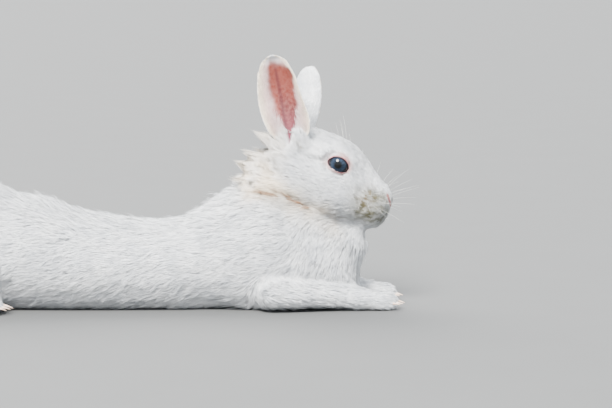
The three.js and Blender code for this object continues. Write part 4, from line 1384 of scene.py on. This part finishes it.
def make_whiskers():
    """Rows of whiskers on both pads, and a few hairs over each eye."""
    tubes = []
    for side in SIDES.values():
        out = np.array([1, side, 1])
        for root, way, length in WHISKER_ROWS:
            for column in range(WHISKERS_EACH):
                start = from_head((np.array(root) + NEXT_ROOT * column) * out) / MM
                heading = (np.array(way) + NEXT_WAY * column + RANDOM.normal(0, WHISKER_STRAY, 3)) * out
                bend = np.array([1.5, 1.0, -4 + 2 * RANDOM.random()]) * out
                reach = length * (1 - 0.1 * column) * RANDOM.uniform(*WHISKER_LENGTHS)
                tubes.append(hair(start - unit(heading), heading, bend, reach))
        for root, length in BROW_HAIRS:
            start = from_head(np.array(root) * out) / MM
            way = np.array([-0.12 + 0.1 * RANDOM.normal(), 0.35, 1]) * out
            tubes.append(hair(start, way, (-1, 0, -1), length))
    whiskers = joined_tubes("whiskers", tubes)
    along = np.repeat(np.linspace(0, 1, WHISKER_STEPS), WHISKER_SIDES)
    set_masks(whiskers.data, {"along": np.tile(along, len(tubes))})
    whiskers.data.materials.append(whisker_material())
    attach(whiskers, "root")


CLAW_STEPS, CLAW_SIDES, CLAW_RADIUS, CLAW_TIP = 9, 10, 1.05, 0.12
CLAW_ROOT = 2.4  # how far a claw goes back into its toe
CLAW_TOP, CLAW_FOOT = 0.9, 0.2  # its path starts and ends this far inside its solid's height


def claw_material():
    nodes = Nodes("claw_horn", Roughness=0.35)
    tip = nodes.spread(nodes.noise(2), 0.3, 0.7)
    nodes.colour(nodes.mix(tip, srgb(206, 176, 156), srgb(226, 206, 190)))
    nodes.bump(nodes.noise(0.6, stretch=(0.2, 1, 1)), 0.2, 0.1)
    return nodes.material


def make_claws():
    """A curved claw in the place of each claw's solid, rooted a little deeper in its toe."""
    tubes, nodes = [], [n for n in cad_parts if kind_of(n) == "claw"]
    for node in nodes:
        low, high = (np.array(corner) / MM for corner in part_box(node))
        t = np.linspace(0, 1, CLAW_STEPS)
        x = low[0] - CLAW_ROOT + t * (high[0] - low[0] + CLAW_ROOT)
        z = high[2] - CLAW_TOP - t**2 * (high[2] - low[2] - CLAW_TOP - CLAW_FOOT)
        path = np.stack([x, np.full(CLAW_STEPS, (low[1] + high[1]) / 2), z], 1) * MM
        tubes.append(tapered_tube(path, CLAW_RADIUS * MM, CLAW_SIDES, CLAW_TIP))
    claws = joined_tubes("claws", tubes)
    claws.data.materials.append(claw_material())
    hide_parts(*nodes)
    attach(claws, "root")


# ---- Stage: floor, light and camera, in metres ----
CAMERA_AIM = Vector((0.106, 0, 0.0694))
CAMERA_FAR = 2.0
CAMERA_HEIGHT = math.radians(6)
PHOTO_WIDTH = 0.416  # how much of the rabbit's plane the photo's frame is wide
FLOOR_SIZE = 40
# Each sun's heading, angle in degrees, strength and colour.
SUNS = {
    "key": ((0.3, 0.92, -0.95), 24, 17, (1.0, 0.98, 0.945)),
    "back": ((0.55, -0.7, -0.75), 50, 7, (1.0, 0.97, 0.93)),
}
SKY_COLOUR, SKY_STRENGTH = (0.88, 0.94, 1.0, 1), 2.4


def make_floor():
    bpy.ops.mesh.primitive_plane_add(size=FLOOR_SIZE)
    floor = bpy.context.active_object
    floor.name = "floor"
    nodes = Nodes("floor", Roughness=0.8)
    nodes.colour(nodes.mix(nodes.noise(60), srgb(80, 81, 81), srgb(84, 85, 85)))
    floor.data.materials.append(nodes.material)


def make_lights():
    for name, (heading, angle, strength, colour) in SUNS.items():
        light = bpy.data.lights.new(name, "SUN")
        light.angle, light.energy, light.color = math.radians(angle), strength, colour
        linked(name, light).rotation_euler = Vector(heading).to_track_quat("-Z", "Y").to_euler()
    world = bpy.data.worlds.new("studio")
    world.use_nodes = True
    world.node_tree.nodes["Background"].inputs["Color"].default_value = SKY_COLOUR
    world.node_tree.nodes["Background"].inputs["Strength"].default_value = SKY_STRENGTH
    bpy.context.scene.world = world


def make_camera():
    camera = bpy.data.cameras.new("camera")
    camera.sensor_fit = "HORIZONTAL"
    camera.angle = 2 * math.atan(PHOTO_WIDTH / 2 / CAMERA_FAR)
    holder = linked("camera", camera)
    away = Vector((0, -math.cos(CAMERA_HEIGHT), math.sin(CAMERA_HEIGHT)))
    holder.location = CAMERA_AIM + away * CAMERA_FAR
    holder.rotation_euler = (-away).to_track_quat("-Z", "Y").to_euler()
    bpy.context.scene.camera = holder


# ---- Everything together ----
make_camera()
make_floor()
make_lights()
FUR = fur_material()  # all pieces of coat share it
LID = lid_material()
skin, skin_share, skin_ears = make_skin()
unwrap(skin)
skin_masks = markings(points_of(skin.data), skin_share, skin_ears)
set_masks(skin.data, skin_masks)
skin.data.materials.append(skin_material())
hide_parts(*FLESH, "ear_left", "ear_right")
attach(skin, "root")
make_coat(skin, skin_share, skin_ears, skin_masks)
for name, sign in SIDES.items():
    make_eye(name, sign)
    make_lids(name, sign)
make_whiskers()
make_claws()
